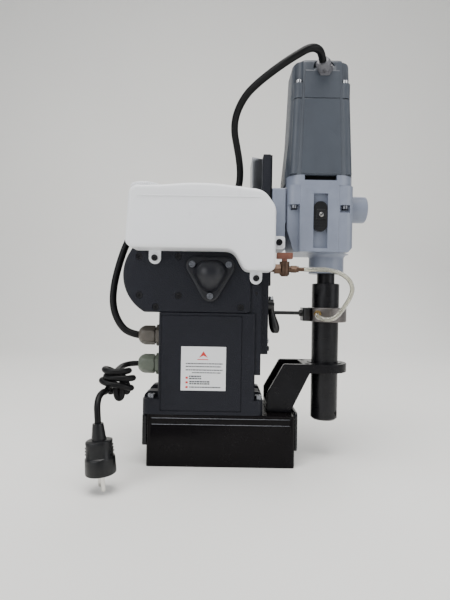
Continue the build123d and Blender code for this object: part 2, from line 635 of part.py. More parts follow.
STATOR_RADIUS = 34.5
with BuildPart() as motor_housing:
    with BuildSketch(Plane.XY.offset(FLANGE_TOP)):
        with Locations((MOTOR_X, 0)):
            RectangleRounded(92, 84, 22)
    with BuildSketch(Plane.XY.offset(MOTOR_SEAM)):
        with Locations((MOTOR_X, 0)):
            RectangleRounded(83, 79, 21)
    loft()
    # A lip on the column side, hanging below the flange's top face.
    with BuildSketch(side_plane(24)):
        with BuildLine():
            Polyline(
                (84, 388), (84, 401), (89, 455), (95, 455), (95, FLANGE_TOP), (85.7, FLANGE_TOP), (85.7, 388),
                close=True,
            )
        make_face()
    extrude(amount=48)
    bar_z(MOTOR_X, 0, FLANGE_TOP - 1, MOTOR_SEAM + 1, STATOR_RADIUS + 0.05, mode=Mode.SUBTRACT)
    for x, y in LOWER_SCREWS:
        bar_z(x, y, FLANGE_TOP - 1, 408, 2.6, mode=Mode.SUBTRACT)
    for x, y in UPPER_SCREWS:
        bar_z(x, y, 490, MOTOR_SEAM + 1, 2.6, mode=Mode.SUBTRACT)
write(motor_housing, "motor_housing")

GLAND_PLANE = Plane(origin=(135.4, -35, 542.8), x_dir=(1, 0, 0), z_dir=(-0.35, -0.87, 0.35))
with BuildPart() as motor_end_cap:
    with BuildSketch(Plane.XY.offset(MOTOR_SEAM)):
        with Locations((MOTOR_X, 0)):
            RectangleRounded(83, 79, 21)
    with BuildSketch(Plane.XY.offset(MOTOR_TOP)):
        with Locations((MOTOR_X, 0)):
            RectangleRounded(78.6, 76, 20)
    loft()
    fillet(motor_end_cap.faces().sort_by(Axis.Z)[-1].edges(), 6)
    bar_z(MOTOR_X, 0, MOTOR_SEAM - 1, 512, STATOR_RADIUS - 2, mode=Mode.SUBTRACT)
    bar_z(MOTOR_X, 0, 511, 520, 11.05, mode=Mode.SUBTRACT)
    with BuildSketch(GLAND_PLANE):
        Circle(14)
    extrude(amount=40, mode=Mode.SUBTRACT)
    with BuildSketch(GLAND_PLANE):
        Circle(6)
    extrude(amount=-12, mode=Mode.SUBTRACT)
    for x, y in UPPER_SCREWS:
        out = 1 if x > MOTOR_X else -1
        side = 1 if y > 0 else -1
        bar_z(x + 1.5 * out, y + 1.5 * side, UPPER_SEAT, MOTOR_TOP + 1, 7, mode=Mode.SUBTRACT)
        bar_z(x, y, MOTOR_SEAM - 1, UPPER_SEAT + 1, 2.6, mode=Mode.SUBTRACT)
write(motor_end_cap, "motor_end_cap")

with BuildPart() as motor_screws:
    for x, y in LOWER_SCREWS:
        bar_z(x, y, LOWER_SEAT, 406, 2.5)
        bar_z(x, y, LOWER_SEAT - 5, LOWER_SEAT, 4.25)
        bar_z(x, y, LOWER_SEAT - 6, LOWER_SEAT - 2.2, 2.1, mode=Mode.SUBTRACT)
    for x, y in UPPER_SCREWS:
        bar_z(x, y, 492, UPPER_SEAT, 2.5)
        bar_z(x, y, UPPER_SEAT, UPPER_SEAT + 5, 4.25)
        bar_z(x, y, UPPER_SEAT + 2.2, UPPER_SEAT + 6, 2.1, mode=Mode.SUBTRACT)
write(motor_screws, "motor_screws")

with BuildPart() as motor_gland:
    with BuildSketch(GLAND_PLANE):
        RegularPolygon(11.4, 6)
    extrude(amount=6)
    with BuildSketch(GLAND_PLANE):
        Circle(5.9)
    extrude(amount=-10)
    with BuildSketch(GLAND_PLANE.offset(6)):
        Circle(10)
    extrude(amount=8)
    with BuildSketch(GLAND_PLANE.offset(14)):
        Circle(10)
    with BuildSketch(GLAND_PLANE.offset(18)):
        Circle(7.5)
    loft()
    with BuildSketch(GLAND_PLANE.offset(-11)):
        Circle(4)
    extrude(amount=26, mode=Mode.SUBTRACT)
write(motor_gland, "motor_gland")

with BuildPart() as stator:
    bar_z(MOTOR_X, 0, 415, 478, STATOR_RADIUS)
    bar_z(MOTOR_X, 0, 414, 479, 23.3, mode=Mode.SUBTRACT)
write(stator, "stator")

with BuildPart() as brush_holders:
    for near, far in ((-33.5, -14.6), (14.6, 33.5)):
        block((MOTOR_X - 5, MOTOR_X + 5), (near, far), (487, 497))
write(brush_holders, "brush_holders")

with BuildPart() as ball_bearings:
    for bottom, top, outer, inner in (
        (268.2, 279.8, BEARING_RADIUS, SPINDLE_RADIUS + 0.04),
        (322.2, 333.8, BEARING_RADIUS, SPINDLE_RADIUS + 0.04),
    ):
        bar_z(SPINDLE_X, 0, bottom, top, outer)
        bar_z(SPINDLE_X, 0, bottom - 1, top + 1, inner, mode=Mode.SUBTRACT)
    for bottom, top in ((384.5, 391.8), (512.2, 519)):
        bar_z(MOTOR_X, 0, bottom, top, 11)
        bar_z(MOTOR_X, 0, bottom - 1, top + 1, 6.29, mode=Mode.SUBTRACT)
write(ball_bearings, "ball_bearings")

# ---- Drive train: armature, layshaft, spindle ----
to_layshaft = math.degrees(math.atan2(LAYSHAFT[1], LAYSHAFT[0] - MOTOR_X))
to_spindle = math.degrees(math.atan2(-LAYSHAFT[1], SPINDLE_X - LAYSHAFT[0]))

with BuildPart() as armature:
    bar_z(MOTOR_X, 0, 378, 519, 6.25)
    extrude(gear_face(Plane.XY.offset(364), (MOTOR_X, 0), ARMATURE_TEETH, DRIVE_MODULE, to_layshaft),
            amount=14.5)
    bar_z(MOTOR_X, 0, 418, 475, 22.6)
    bar_z(MOTOR_X, 0, 485, 500, 14)
    bar_z(MOTOR_X, 0, 400, 402, 30)
    for angle in range(0, 360, 30):
        with Locations(Location((MOTOR_X, 0, 405), (0, 0, angle))):
            with Locations((21, 0, 0)):
                Box(17, 1.6, 7)
write(armature, "armature")

with BuildPart() as layshaft_gear:
    bar_z(*LAYSHAFT, 327, 389, 5)
    extrude(gear_face(Plane.XY.offset(366), LAYSHAFT, LAYSHAFT_TEETH, DRIVE_MODULE,
                      to_layshaft + 180 + 180 / LAYSHAFT_TEETH), amount=10)
    extrude(gear_face(Plane.XY.offset(337), LAYSHAFT, LAYSHAFT_PINION_TEETH, DRIVE_MODULE, to_spindle),
            amount=15)
write(layshaft_gear, "layshaft_gear")

with BuildPart() as spindle:
    bar_z(SPINDLE_X, 0, 226, 352, SPINDLE_RADIUS)
    extrude(gear_face(Plane.XY.offset(338.5), (SPINDLE_X, 0), SPINDLE_TEETH, DRIVE_MODULE,
                      to_spindle + 180 + 180 / SPINDLE_TEETH), amount=12)
write(spindle, "spindle")

SET_SCREW_ANGLES = (-40, 140)
with BuildPart() as arbor:
    bar_z(SPINDLE_X, 0, ARBOR_BOTTOM, ARBOR_TOP, ARBOR_RADIUS)
    chamfer(arbor.edges().group_by(Axis.Z)[0], 2.5)
    bar_z(SPINDLE_X, 0, ARBOR_TOP, 251, 19.5)
    chamfer(arbor.edges().group_by(Axis.Z)[-1], 1)
    for turn in (236, 56):
        with Locations(Location((SPINDLE_X, 0, 242), (0, 0, turn))):
            with Locations((23.2, 0, 0)):
                Box(10, 30, 20, mode=Mode.SUBTRACT)
    bar_z(SPINDLE_X, 0, 225, 252, SPINDLE_RADIUS + 0.02, mode=Mode.SUBTRACT)
    bar_z(SPINDLE_X, 0, ARBOR_BOTTOM - 1, 111, SHANK_RADIUS, mode=Mode.SUBTRACT)
    bar_z(SPINDLE_X, 0, 110, 210, 4.5, mode=Mode.SUBTRACT)
    bar_x(SPINDLE_X - 25, SPINDLE_X + 25, 0, 206, 2, mode=Mode.SUBTRACT)
    for angle in SET_SCREW_ANGLES:
        turn = math.radians(angle)
        out = Vector(math.cos(turn), math.sin(turn), 0)
        with BuildSketch(Plane(origin=Vector(SPINDLE_X, 0, 66) + out * 8, z_dir=out)):
            Circle(4.05)
        extrude(amount=14, mode=Mode.SUBTRACT)
write(arbor, "arbor")

with BuildPart() as arbor_set_screws:
    for angle in SET_SCREW_ANGLES:
        turn = math.radians(angle)
        out = Vector(math.cos(turn), math.sin(turn), 0)
        with BuildSketch(Plane(origin=Vector(SPINDLE_X, 0, 66) + out * 10, z_dir=out)):
            Circle(4)
        extrude(amount=8)
        with BuildSketch(Plane(origin=Vector(SPINDLE_X, 0, 66) + out * 15, z_dir=out)):
            RegularPolygon(2.3, 6)
        extrude(amount=4, mode=Mode.SUBTRACT)
write(arbor_set_screws, "arbor_set_screws")

# ---- Coolant collar, held still by a rod from the carriage ----
with BuildPart() as coolant_collar:
    bar_z(SPINDLE_X, 0, COLLAR_BOTTOM, COLLAR_TOP, 30)
    chamfer(coolant_collar.edges().filter_by(GeomType.CIRCLE), 1)
    bar_z(SPINDLE_X, 0, COLLAR_BOTTOM - 1, COLLAR_TOP + 1, ARBOR_RADIUS + 0.06, mode=Mode.SUBTRACT)
    bar_z(SPINDLE_X, 0, 202, 210, 21, mode=Mode.SUBTRACT)
    block((110, 127.2), (-30, 30), (190, 220), mode=Mode.SUBTRACT)
    bar_y(131.5, ROD_Z, -35, -10, 3.05, mode=Mode.SUBTRACT)
write(coolant_collar, "coolant_collar")

with BuildPart() as collar_arm:
    block((114.5, 127), (-15, 15), (COLLAR_BOTTOM + 1, COLLAR_TOP - 0.5))
    fillet(collar_arm.edges().filter_by(Axis.Z), 4)
    bar_x(SLIDE_FRONT - 7, 117, 0, ROD_Z, 2.6)
    with BuildSketch(Plane.YZ.offset(111)):
        with Locations((0, ROD_Z)):
            RegularPolygon(5.2, 6)
    extrude(amount=3.5)
write(collar_arm, "collar_arm")

ELBOW_Y = -34.0
HOSE_END = (129.4, -40.4, 206.9)
with BuildPart() as collar_elbow:
    bar_y(131.5, ROD_Z, ELBOW_Y - 2, -21, 3)
    with BuildSketch(side_plane(-27.8)):
        with Locations((131.5, ROD_Z)):
            RegularPolygon(5, 6)
    extrude(amount=5)
    with BuildSketch(Plane(origin=(131.5, ELBOW_Y, ROD_Z), z_dir=Vector(*HOSE_END) - Vector(131.5, ELBOW_Y, ROD_Z))):
        Circle(2.4)
    extrude(amount=(Vector(*HOSE_END) - Vector(131.5, ELBOW_Y, ROD_Z)).length)
write(collar_elbow, "collar_elbow")

# ---- Support bracket, standing on the magnet ----
with BuildPart() as support_bracket:
    with BuildSketch(side_plane(31)):
        with BuildLine():
            Polyline(
                (63.4, MAGNET_HEIGHT), (63.4, 96.5), (86.3, RING_TOP), (SPINDLE_X, RING_TOP),
                (SPINDLE_X, RING_BOTTOM), (122.6, RING_BOTTOM), (98.2, 75), (98.2, MAGNET_HEIGHT), close=True,
            )
        make_face()
    extrude(amount=62)
    fillet(support_bracket.edges().filter_by(Axis.Y).group_by(Axis.X)[1], 4)
    bar_z(SPINDLE_X, 0, RING_BOTTOM, RING_TOP, 31)
    with BuildSketch(side_plane(24)):
        with BuildLine():
            Polyline(
                (55, BRACKET_FLOOR), (91.7, BRACKET_FLOOR), (113.5, RING_BOTTOM), (113.5, 145), (55, 145),
                close=True,
            )
        make_face()
    extrude(amount=48, mode=Mode.SUBTRACT)
    bar_z(SPINDLE_X, 0, RING_BOTTOM - 1, RING_TOP + 1, 24.02, mode=Mode.SUBTRACT)
    for x, y in BRACKET_SCREWS:
        bar_z(x, y, MAGNET_HEIGHT - 1, BRACKET_FLOOR + 1, 3.1, mode=Mode.SUBTRACT)
write(support_bracket, "support_bracket")

with BuildPart() as support_bushing:
    bar_z(SPINDLE_X, 0, RING_BOTTOM, RING_TOP + 0.6, 24)
    bar_z(SPINDLE_X, 0, RING_BOTTOM - 1, RING_TOP + 2, ARBOR_RADIUS + 0.06, mode=Mode.SUBTRACT)
write(support_bushing, "support_bushing")

# ---- Coolant tank, cap, valve ----
TANK_BACK = -51.0
TANK_NEAR = -95.0
TANK_OUTLINE = [
    (-124, 289.6), (12.5, 289.6), (27.5, 262.5), (65.5, 262.5), (65.5, 343), (50.5, 364), (-27, 373.3),
    (-82, 368.3), (-119.5, 368.3),
]
TANK_CORNERS = [10, 18, 12, 7, 22, 24, 300, 150, 12]
TANK_WALL = 2.6
CAP_X = -102.0
CAP_Y = -73.0

with BuildPart() as coolant_tank:
    with BuildSketch(side_plane(TANK_BACK)) as tank_profile:
        with BuildLine():
            FilletPolyline(*TANK_OUTLINE, radius=TANK_CORNERS, close=True)
        make_face()
    extrude(amount=TANK_BACK - TANK_NEAR)
    fillet(coolant_tank.faces().sort_by(Axis.Y)[0].edges(), 5)
    with BuildSketch(side_plane(TANK_BACK - TANK_WALL)):
        offset(tank_profile.sketch, amount=-TANK_WALL)
    extrude(amount=TANK_BACK - TANK_NEAR - 2 * TANK_WALL, mode=Mode.SUBTRACT)
    bar_z(CAP_X, CAP_Y, 353, 366, 15)
    bar_z(CAP_X, CAP_Y, 352, 369, 12.5, mode=Mode.SUBTRACT)
    for (x, z), joined in zip(TANK_EARS, (285.8, 260.4)):
        with BuildSketch(side_plane(-HALF_WIDTH)):
            with Locations((x, z)):
                Circle(8)
            with Locations((x, joined)):
                Rectangle(16, 8)
        extrude(amount=-HALF_WIDTH - EAR_FACE)
    with BuildSketch(side_plane(-HALF_WIDTH)):
        with Locations((72, 303)):
            RectangleRounded(20, 17, 4)
    extrude(amount=-HALF_WIDTH - EAR_FACE)
    for x, z in TANK_EARS:
        bar_y(x, z, -58, -48, 2.7, mode=Mode.SUBTRACT)
    bar_y(45, 303, -59.6, -53, 8.6)
    bar_y(45, 303, -57, -50, 6, mode=Mode.SUBTRACT)
    bar_x(60, 67, VALVE_Y, VALVE_Z, 4.1, mode=Mode.SUBTRACT)
write(coolant_tank, "coolant_tank")

with BuildPart() as tank_cap:
    bar_z(CAP_X, CAP_Y, 368.6, 372.4, 19)
    fillet(tank_cap.edges().group_by(Axis.Z)[-1], 1.2)
    bar_z(CAP_X, CAP_Y, 355, 369, 12.2)
write(tank_cap, "tank_cap")

with BuildPart() as tank_strap:
    block((38.5, 82), (-HALF_WIDTH, -WAYS_HALF), (295, 311))
    fillet(tank_strap.edges().filter_by(Axis.Y), 3)
    for x in (45.0, 74.0):
        bar_y(x, 303, -HALF_WIDTH - 1, -WAYS_HALF + 1, 2.6, mode=Mode.SUBTRACT)
write(tank_strap, "tank_strap")

with BuildPart() as valve_body:
    bar_x(61, 98, VALVE_Y, VALVE_Z, 4)
    with BuildSketch(Plane.YZ.offset(66.2)):
        with Locations((VALVE_Y, VALVE_Z)):
            RegularPolygon(7, 6)
    extrude(amount=8)
    with BuildSketch(Plane.YZ.offset(88)):
        with Locations((VALVE_Y, VALVE_Z)):
            RegularPolygon(5.2, 6)
    extrude(amount=7)
    bar_z(VALVE_X, VALVE_Y, 257, 276, 6.5)
    chamfer(valve_body.faces().sort_by(Axis.Z)[0].edges(), 2.5)
    bar_x(97, 105, VALVE_Y, VALVE_Z, 2.6)
    bar_x(60, 106, VALVE_Y, VALVE_Z, 1.2, mode=Mode.SUBTRACT)
write(valve_body, "valve_body")

with BuildPart() as valve_handle:
    bar_z(VALVE_X, VALVE_Y, 276.3, 281, 3.6)
    block((VALVE_X - 10.4, VALVE_X + 10.4), (VALVE_Y - 4.2, VALVE_Y + 4.2), (279.5, 287.6))
    fillet(valve_handle.edges().filter_by(Axis.Y), 1.5)
write(valve_handle, "valve_handle")

# ---- Controls ----
with BuildPart() as selector_knob:
    with BuildSketch(side_plane(-36)):
        with Locations((131.4, 341.2)):
            RectangleRounded(17.6, 41, 8)
    extrude(amount=6.5)
    for height in range(324, 360, 4):
        block((120, 143), (-43, -42), (height, height + 1.6), mode=Mode.SUBTRACT)
write(selector_knob, "selector_knob")

with BuildPart() as clamp_lever:
    bar_x(SLIDE_FRONT - 7, 66, -14, 219, 4)
    bar_x(63.4, 72, -14, 219, 8.5)
    for height, x, half_x, half_y in (
        (222, 69, 5, 7), (206, 70, 5, 6.5), (195, 72.5, 6.8, 7.5), (185, 74.5, 7, 8), (179.5, 75, 4.5, 5.5),
    ):
        with BuildSketch(Plane.XY.offset(height)):
            with Locations((x, -14)):
                Ellipse(half_x, half_y)
    loft()
write(clamp_lever, "clamp_lever")

PANEL_X = (-62.0, 12.0)
PANEL_Z = (108.0, 182.0)
ROCKER = (-40.0, 150.0)
START_BUTTON = (-12.0, 160.0)
STOP_BUTTON = (-12.0, 130.0)
with BuildPart() as control_panel:
    block(PANEL_X, (HALF_WIDTH, 53), PANEL_Z)
    fillet(control_panel.edges().filter_by(Axis.Y), 4)
    block((ROCKER[0] - 11.5, ROCKER[0] + 11.5), (49, 54), (ROCKER[1] - 16, ROCKER[1] + 16), mode=Mode.SUBTRACT)
    for x, z in (START_BUTTON, STOP_BUTTON):
        bar_y(x, z, 49, 54, 8.2, mode=Mode.SUBTRACT)
write(control_panel, "control_panel")

with BuildPart() as magnet_switch:
    with BuildSketch(Plane.YZ.offset(ROCKER[0] - 11)):
        with BuildLine():
            Polyline((44, 140), (51, 137), (57.5, 139), (54, 150), (57.5, 161), (51, 163), (44, 160), close=True)
        make_face()
    extrude(amount=22)
write(magnet_switch, "magnet_switch")

with BuildPart() as start_button:
    bar_y(*START_BUTTON, 44, 58, 7.6)
    fillet(start_button.edges().group_by(Axis.Y)[-1], 1)
write(start_button, "start_button")

with BuildPart() as stop_button:
    bar_y(*STOP_BUTTON, 44, 58, 7.6)
    bar_y(*STOP_BUTTON, 57, 63, 12)
    fillet(stop_button.edges().group_by(Axis.Y)[-1], 2)
write(stop_button, "stop_button")

# ---- Mains cord: up to the hank, the tied hank, down to the plug ----
HANK_X = (-153.0, -107.5)
HANK_Y = (-105.0, -71.6)
HANK_Z = (106.5, 139.5)
cord_to_hank = [
    (GLAND_END, GLAND_Y, MAINS_GLAND_Z), (-124.5, -21, 133.8), (-131.5, -25, 133.2), (-136, -32, 132.2),
    (-138, -40.5, 131), (-138.5, -51, 129.8), (-138, -61.5, 129), (-137.3, -71, 128.6),
]
cord_to_plug = [
    (-143, -105.5, 112), (-145.5, -117, 108), (-145, -126.5, 100), (-143.5, -130, 89.5), (-142.6, -130.3, 79),
]
mains_cord_upper = cord_tube(cord_to_hank, MAINS_CORD_DIAMETER, "mains_cord_upper")
write(mains_cord_upper, "mains_cord_upper")
mains_cord_lower = cord_tube(cord_to_plug, MAINS_CORD_DIAMETER, "mains_cord_lower")
write(mains_cord_lower, "mains_cord_lower")

with BuildPart() as cord_hank:
    with BuildSketch(Plane.XY.offset(HANK_Z[0])):
        with Locations((sum(HANK_X) / 2, sum(HANK_Y) / 2)):
            RectangleRounded(HANK_X[1] - HANK_X[0], HANK_Y[1] - HANK_Y[0], 15)
    extrude(amount=HANK_Z[1] - HANK_Z[0])
    fillet(cord_hank.edges().filter_by(Plane.XY), 4)
    block((-145, -116), (-96, -80), (98, HANK_Z[0] + 2))
write(cord_hank, "cord_hank")

PLUG_TOP = Vector(*cord_to_plug[-1])
PLUG_DOWN = (PLUG_TOP - Vector(*cord_to_plug[-2])).normalized()
PIN_TURN = 64  # the pins' line turned about the plug's axis


def plug_plane(along):
    """A plane square to the plug's axis, at a distance down from where the cord enters it."""
    return Plane(origin=PLUG_TOP + PLUG_DOWN * along, x_dir=(1, 0, 0.067), z_dir=PLUG_DOWN)


with BuildPart() as mains_plug:
    with BuildSketch(plug_plane(0)):
        Circle(6.4)
    with BuildSketch(plug_plane(19)):
        Circle(8.4)
    loft()
    with BuildSketch(plug_plane(18.5)):
        Circle(14.5)
    extrude(amount=19)
    with BuildSketch(plug_plane(36)):
        Circle(17.8)
    extrude(amount=22)
write(mains_plug, "mains_plug")

with BuildPart() as plug_pins:
    with BuildSketch(plug_plane(58)):
        with PolarLocations(9.5, 2, start_angle=PIN_TURN):
            Circle(2.4)
    extrude(amount=18)
write(plug_pins, "plug_pins")

# ---- Motor cable: over the feed housing and down to the rear gland ----
GLAND_TIP = GLAND_PLANE.offset(18).origin
PAST_GLAND = GLAND_PLANE.offset(30).origin
motor_cable_route = [
    (GLAND_TIP.X, GLAND_TIP.Y, GLAND_TIP.Z), (PAST_GLAND.X, PAST_GLAND.Y, PAST_GLAND.Z),
    (119.8, -67.1, 554.7),
    (113, -71.5, 554.3), (105, -73.7, 551.7), (94, -73, 545.5), (79, -69.5, 537.5), (61, -61, 528),
    (43, -51, 517.5), (28, -41, 506.5), (18, -31, 492.5), (12.8, -23, 478), (12.5, -15.5, 463),
    (16.5, -9, 446), (20.5, -4, 427), (22.5, 0, 407), (20, 3, 386), (9, 5, 368), (-12, 7, 356),
    (-42, 8, 352.5), (-74, 8, 354), (-103, 6, 351), (-127, 4, 333), (-142, 1, 305), (-152, -2, 272),
    (-158, -6, 240), (-157, -11, 212), (-147, -16, 190), (-133, -19.4, 176.5),
    (GLAND_END, GLAND_Y, MOTOR_GLAND_Z),
]
motor_cable = cord_tube(motor_cable_route, MOTOR_CABLE_DIAMETER, "motor_cable")
write(motor_cable, "motor_cable")

hose_route = [
    (105, VALVE_Y, VALVE_Z), (119, VALVE_Y, VALVE_Z), (138, -67, 267), (156, -62, 262.5), (168, -59, 254),
    (174, -58, 242.5), (173, -58, 230.5), (166.5, -58.5, 219.5), (158, -60, 210), (147.5, -61.5, 203),
    (137.7, -60.3, 201), (130.6, -55.2, 203), (126.94, -47.89, 205.61), HOSE_END,
]
coolant_hose = cord_tube(hose_route, HOSE_DIAMETER, "coolant_hose")
write(coolant_hose, "coolant_hose")
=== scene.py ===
"""Looks of the magnetic drill press: materials, rounded castings, cords and small details.

Shapes are in millimetres, turned to metres with MM. The routes and radii of cords, the widths given to soften, the
camera's place, the backdrop and the lights are in metres.
"""

import json
import math

import bmesh
import bpy
from mathutils import Matrix, Vector


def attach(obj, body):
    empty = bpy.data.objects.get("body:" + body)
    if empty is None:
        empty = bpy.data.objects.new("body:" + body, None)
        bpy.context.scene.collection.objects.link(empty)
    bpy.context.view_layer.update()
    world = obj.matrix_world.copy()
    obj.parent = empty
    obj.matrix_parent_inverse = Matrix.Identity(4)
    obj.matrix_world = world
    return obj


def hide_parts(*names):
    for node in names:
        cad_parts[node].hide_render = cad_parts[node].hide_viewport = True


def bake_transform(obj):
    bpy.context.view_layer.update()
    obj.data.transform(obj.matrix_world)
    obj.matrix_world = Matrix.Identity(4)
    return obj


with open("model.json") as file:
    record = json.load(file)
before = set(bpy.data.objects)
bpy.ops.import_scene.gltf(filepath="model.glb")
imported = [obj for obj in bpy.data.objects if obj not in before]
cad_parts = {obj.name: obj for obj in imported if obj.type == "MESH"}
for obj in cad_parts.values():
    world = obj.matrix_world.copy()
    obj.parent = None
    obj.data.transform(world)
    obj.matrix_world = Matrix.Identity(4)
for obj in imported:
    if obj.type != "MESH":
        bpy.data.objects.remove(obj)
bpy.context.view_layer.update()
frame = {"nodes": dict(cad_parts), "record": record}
MM = 0.001
body_of_node = {
    node: body for body, nodes in frame["record"]["behaviour"]["bodies"].items() for node in nodes
}
scene = bpy.context.scene

# Middles and faces that several details share, in mm.
MOTOR_X = 132
SPINDLE_X = 149
MOTOR_FOOT_Z = 399
MOTOR_TOP_Z = 502.4
CAP_FOOT_Z = 503.6
FEED_SHAFT_XZ = (-17.0, 258.0)
SELECTOR_SCREW_Z = 343.4
LABEL_FACE_Y = (-50.96, -50.92)

UPWARD = (0, 0, 1)
FORWARD = (1, 0, 0)
REARWARD = (-1, 0, 0)
TOWARDS_NEAR = (0, -1, 0)

# ---------------------------------------------------------------- camera
CAMERA_TILT = math.radians(0.95)
CAMERA_PLACE = (0.0031, -0.656, 0.2251)
SENSOR = 36.0
FOCAL_LENGTH = 27.06
camera_data = bpy.data.cameras.new("camera")
camera_data.sensor_width = SENSOR
camera_data.lens = FOCAL_LENGTH
camera_data.clip_start = 0.02
camera_data.clip_end = 30.0
camera = bpy.data.objects.new("camera", camera_data)
scene.collection.objects.link(camera)
tilt_cos, tilt_sin = math.cos(CAMERA_TILT), math.sin(CAMERA_TILT)
camera.matrix_world = Matrix((
    (tilt_cos, -tilt_sin, 0.0, CAMERA_PLACE[0]),
    (0.0, 0.0, -1.0, CAMERA_PLACE[1]),
    (tilt_sin, tilt_cos, 0.0, CAMERA_PLACE[2]),
    (0.0, 0.0, 0.0, 1.0),
))
scene.camera = camera


# ---------------------------------------------------------------- materials
def linear(colour):
    """An sRGB colour given as 0-255 values, as the linear values that shaders take."""
    out = []
    for value in colour:
        v = value / 255.0
        out.append(v / 12.92 if v <= 0.04045 else ((v + 0.055) / 1.055) ** 2.4)
    return (*out, 1.0)


GLOSS_SPREAD = 0.08
BUMP_DEPTH = 0.0006
DUST_COLOUR = (150, 148, 142)


def material(name, colour, rough=0.5, metal=0.0, vary=0.12, patch=45.0, grain=(900.0, 0.12),
             stretch=None, coat=0.0, soft=0.0, soft_radius=(0.01, 0.009, 0.008), clear=0.0,
             dust=0.0, marks=0.0, cells=None, specular=0.5):
    """A procedural finish: blotches, fine grain, uneven gloss, and dust and scratches where asked for."""
    made = bpy.data.materials.new(name)
    made.use_nodes = True
    tree = made.node_tree
    new = tree.nodes.new
    join = tree.links.new
    shader = tree.nodes["Principled BSDF"]
    place = new("ShaderNodeTexCoord")
    where = place.outputs["Object"]
    fine_where = where
    if stretch:
        scaling = new("ShaderNodeMapping")
        scaling.inputs["Scale"].default_value = stretch
        join(where, scaling.inputs["Vector"])
        fine_where = scaling.outputs["Vector"]

    def noise(scale, detail, source, roughness=0.55):
        node = new("ShaderNodeTexNoise")
        node.inputs["Scale"].default_value = scale
        node.inputs["Detail"].default_value = detail
        node.inputs["Roughness"].default_value = roughness
        join(source, node.inputs["Vector"])
        return node.outputs["Fac"]

    def remap(source, low, high, to_low, to_high):
        node = new("ShaderNodeMapRange")
        for key, value in (("From Min", low), ("From Max", high), ("To Min", to_low), ("To Max", to_high)):
            node.inputs[key].default_value = value
        join(source, node.inputs["Value"])
        return node.outputs["Result"]

    def blend_colour(factor, first, second):
        node = new("ShaderNodeMix")
        node.data_type = "RGBA"
        join(factor, node.inputs[0])
        for socket, value in ((node.inputs[6], first), (node.inputs[7], second)):
            if isinstance(value, tuple):
                socket.default_value = value
            else:
                join(value, socket)
        return node.outputs[2]

    base = linear(colour)
    dark = tuple(c * (1 - vary) for c in base[:3]) + (1.0,)
    light = tuple(min(1.0, c * (1 + vary)) for c in base[:3]) + (1.0,)
    blotch = noise(patch, 5.0, where)
    tone = blend_colour(remap(blotch, 0.3, 0.7, 0.0, 1.0), dark, light)
    streaky = noise(60.0, 6.0, fine_where, 0.7)
    gloss = remap(streaky, 0.3, 0.7, max(0.03, rough - GLOSS_SPREAD), min(1.0, rough + GLOSS_SPREAD))
    if marks:
        scratch_map = new("ShaderNodeMapping")
        scratch_map.inputs["Scale"].default_value = (35.0, 220.0, 900.0)
        scratch_map.inputs["Rotation"].default_value = (0.4, 0.15, 0.25)
        join(where, scratch_map.inputs["Vector"])
        scratch = remap(noise(3.0, 3.0, scratch_map.outputs["Vector"]), 0.66, 0.72, 0.0, marks)
        lifted = tuple(min(1.0, c + 0.12) for c in base[:3]) + (1.0,)
        tone = blend_colour(scratch, tone, lifted)
    if dust:
        facing = new("ShaderNodeNewGeometry")
        parts = new("ShaderNodeSeparateXYZ")
        join(facing.outputs["Normal"], parts.inputs[0])
        upward = remap(parts.outputs["Z"], 0.5, 1.0, 0.0, dust)
        tone = blend_colour(upward, tone, linear(DUST_COLOUR))
    join(tone, shader.inputs["Base Color"])
    join(gloss, shader.inputs["Roughness"])
    shader.inputs["Metallic"].default_value = metal
    shader.inputs["Coat Weight"].default_value = coat
    shader.inputs["Coat Roughness"].default_value = 0.12
    shader.inputs["Specular IOR Level"].default_value = specular
    if soft:
        shader.inputs["Subsurface Weight"].default_value = soft
        shader.inputs["Subsurface Radius"].default_value = soft_radius
        shader.inputs["Subsurface Scale"].default_value = 1.0
    if clear:
        shader.inputs["Transmission Weight"].default_value = clear
        shader.inputs["IOR"].default_value = 1.42
    height = noise(grain[0], 3.0, fine_where)
    if cells:
        cell = new("ShaderNodeTexVoronoi")
        cell.inputs["Scale"].default_value = cells
        join(where, cell.inputs["Vector"])
        add = new("ShaderNodeMath")
        add.operation = "ADD"
        join(height, add.inputs[0])
        join(cell.outputs["Distance"], add.inputs[1])
        height = add.outputs[0]
    bump = new("ShaderNodeBump")
    bump.inputs["Strength"].default_value = grain[1]
    bump.inputs["Distance"].default_value = BUMP_DEPTH
    join(height, bump.inputs["Height"])
    join(bump.outputs["Normal"], shader.inputs["Normal"])
    return made


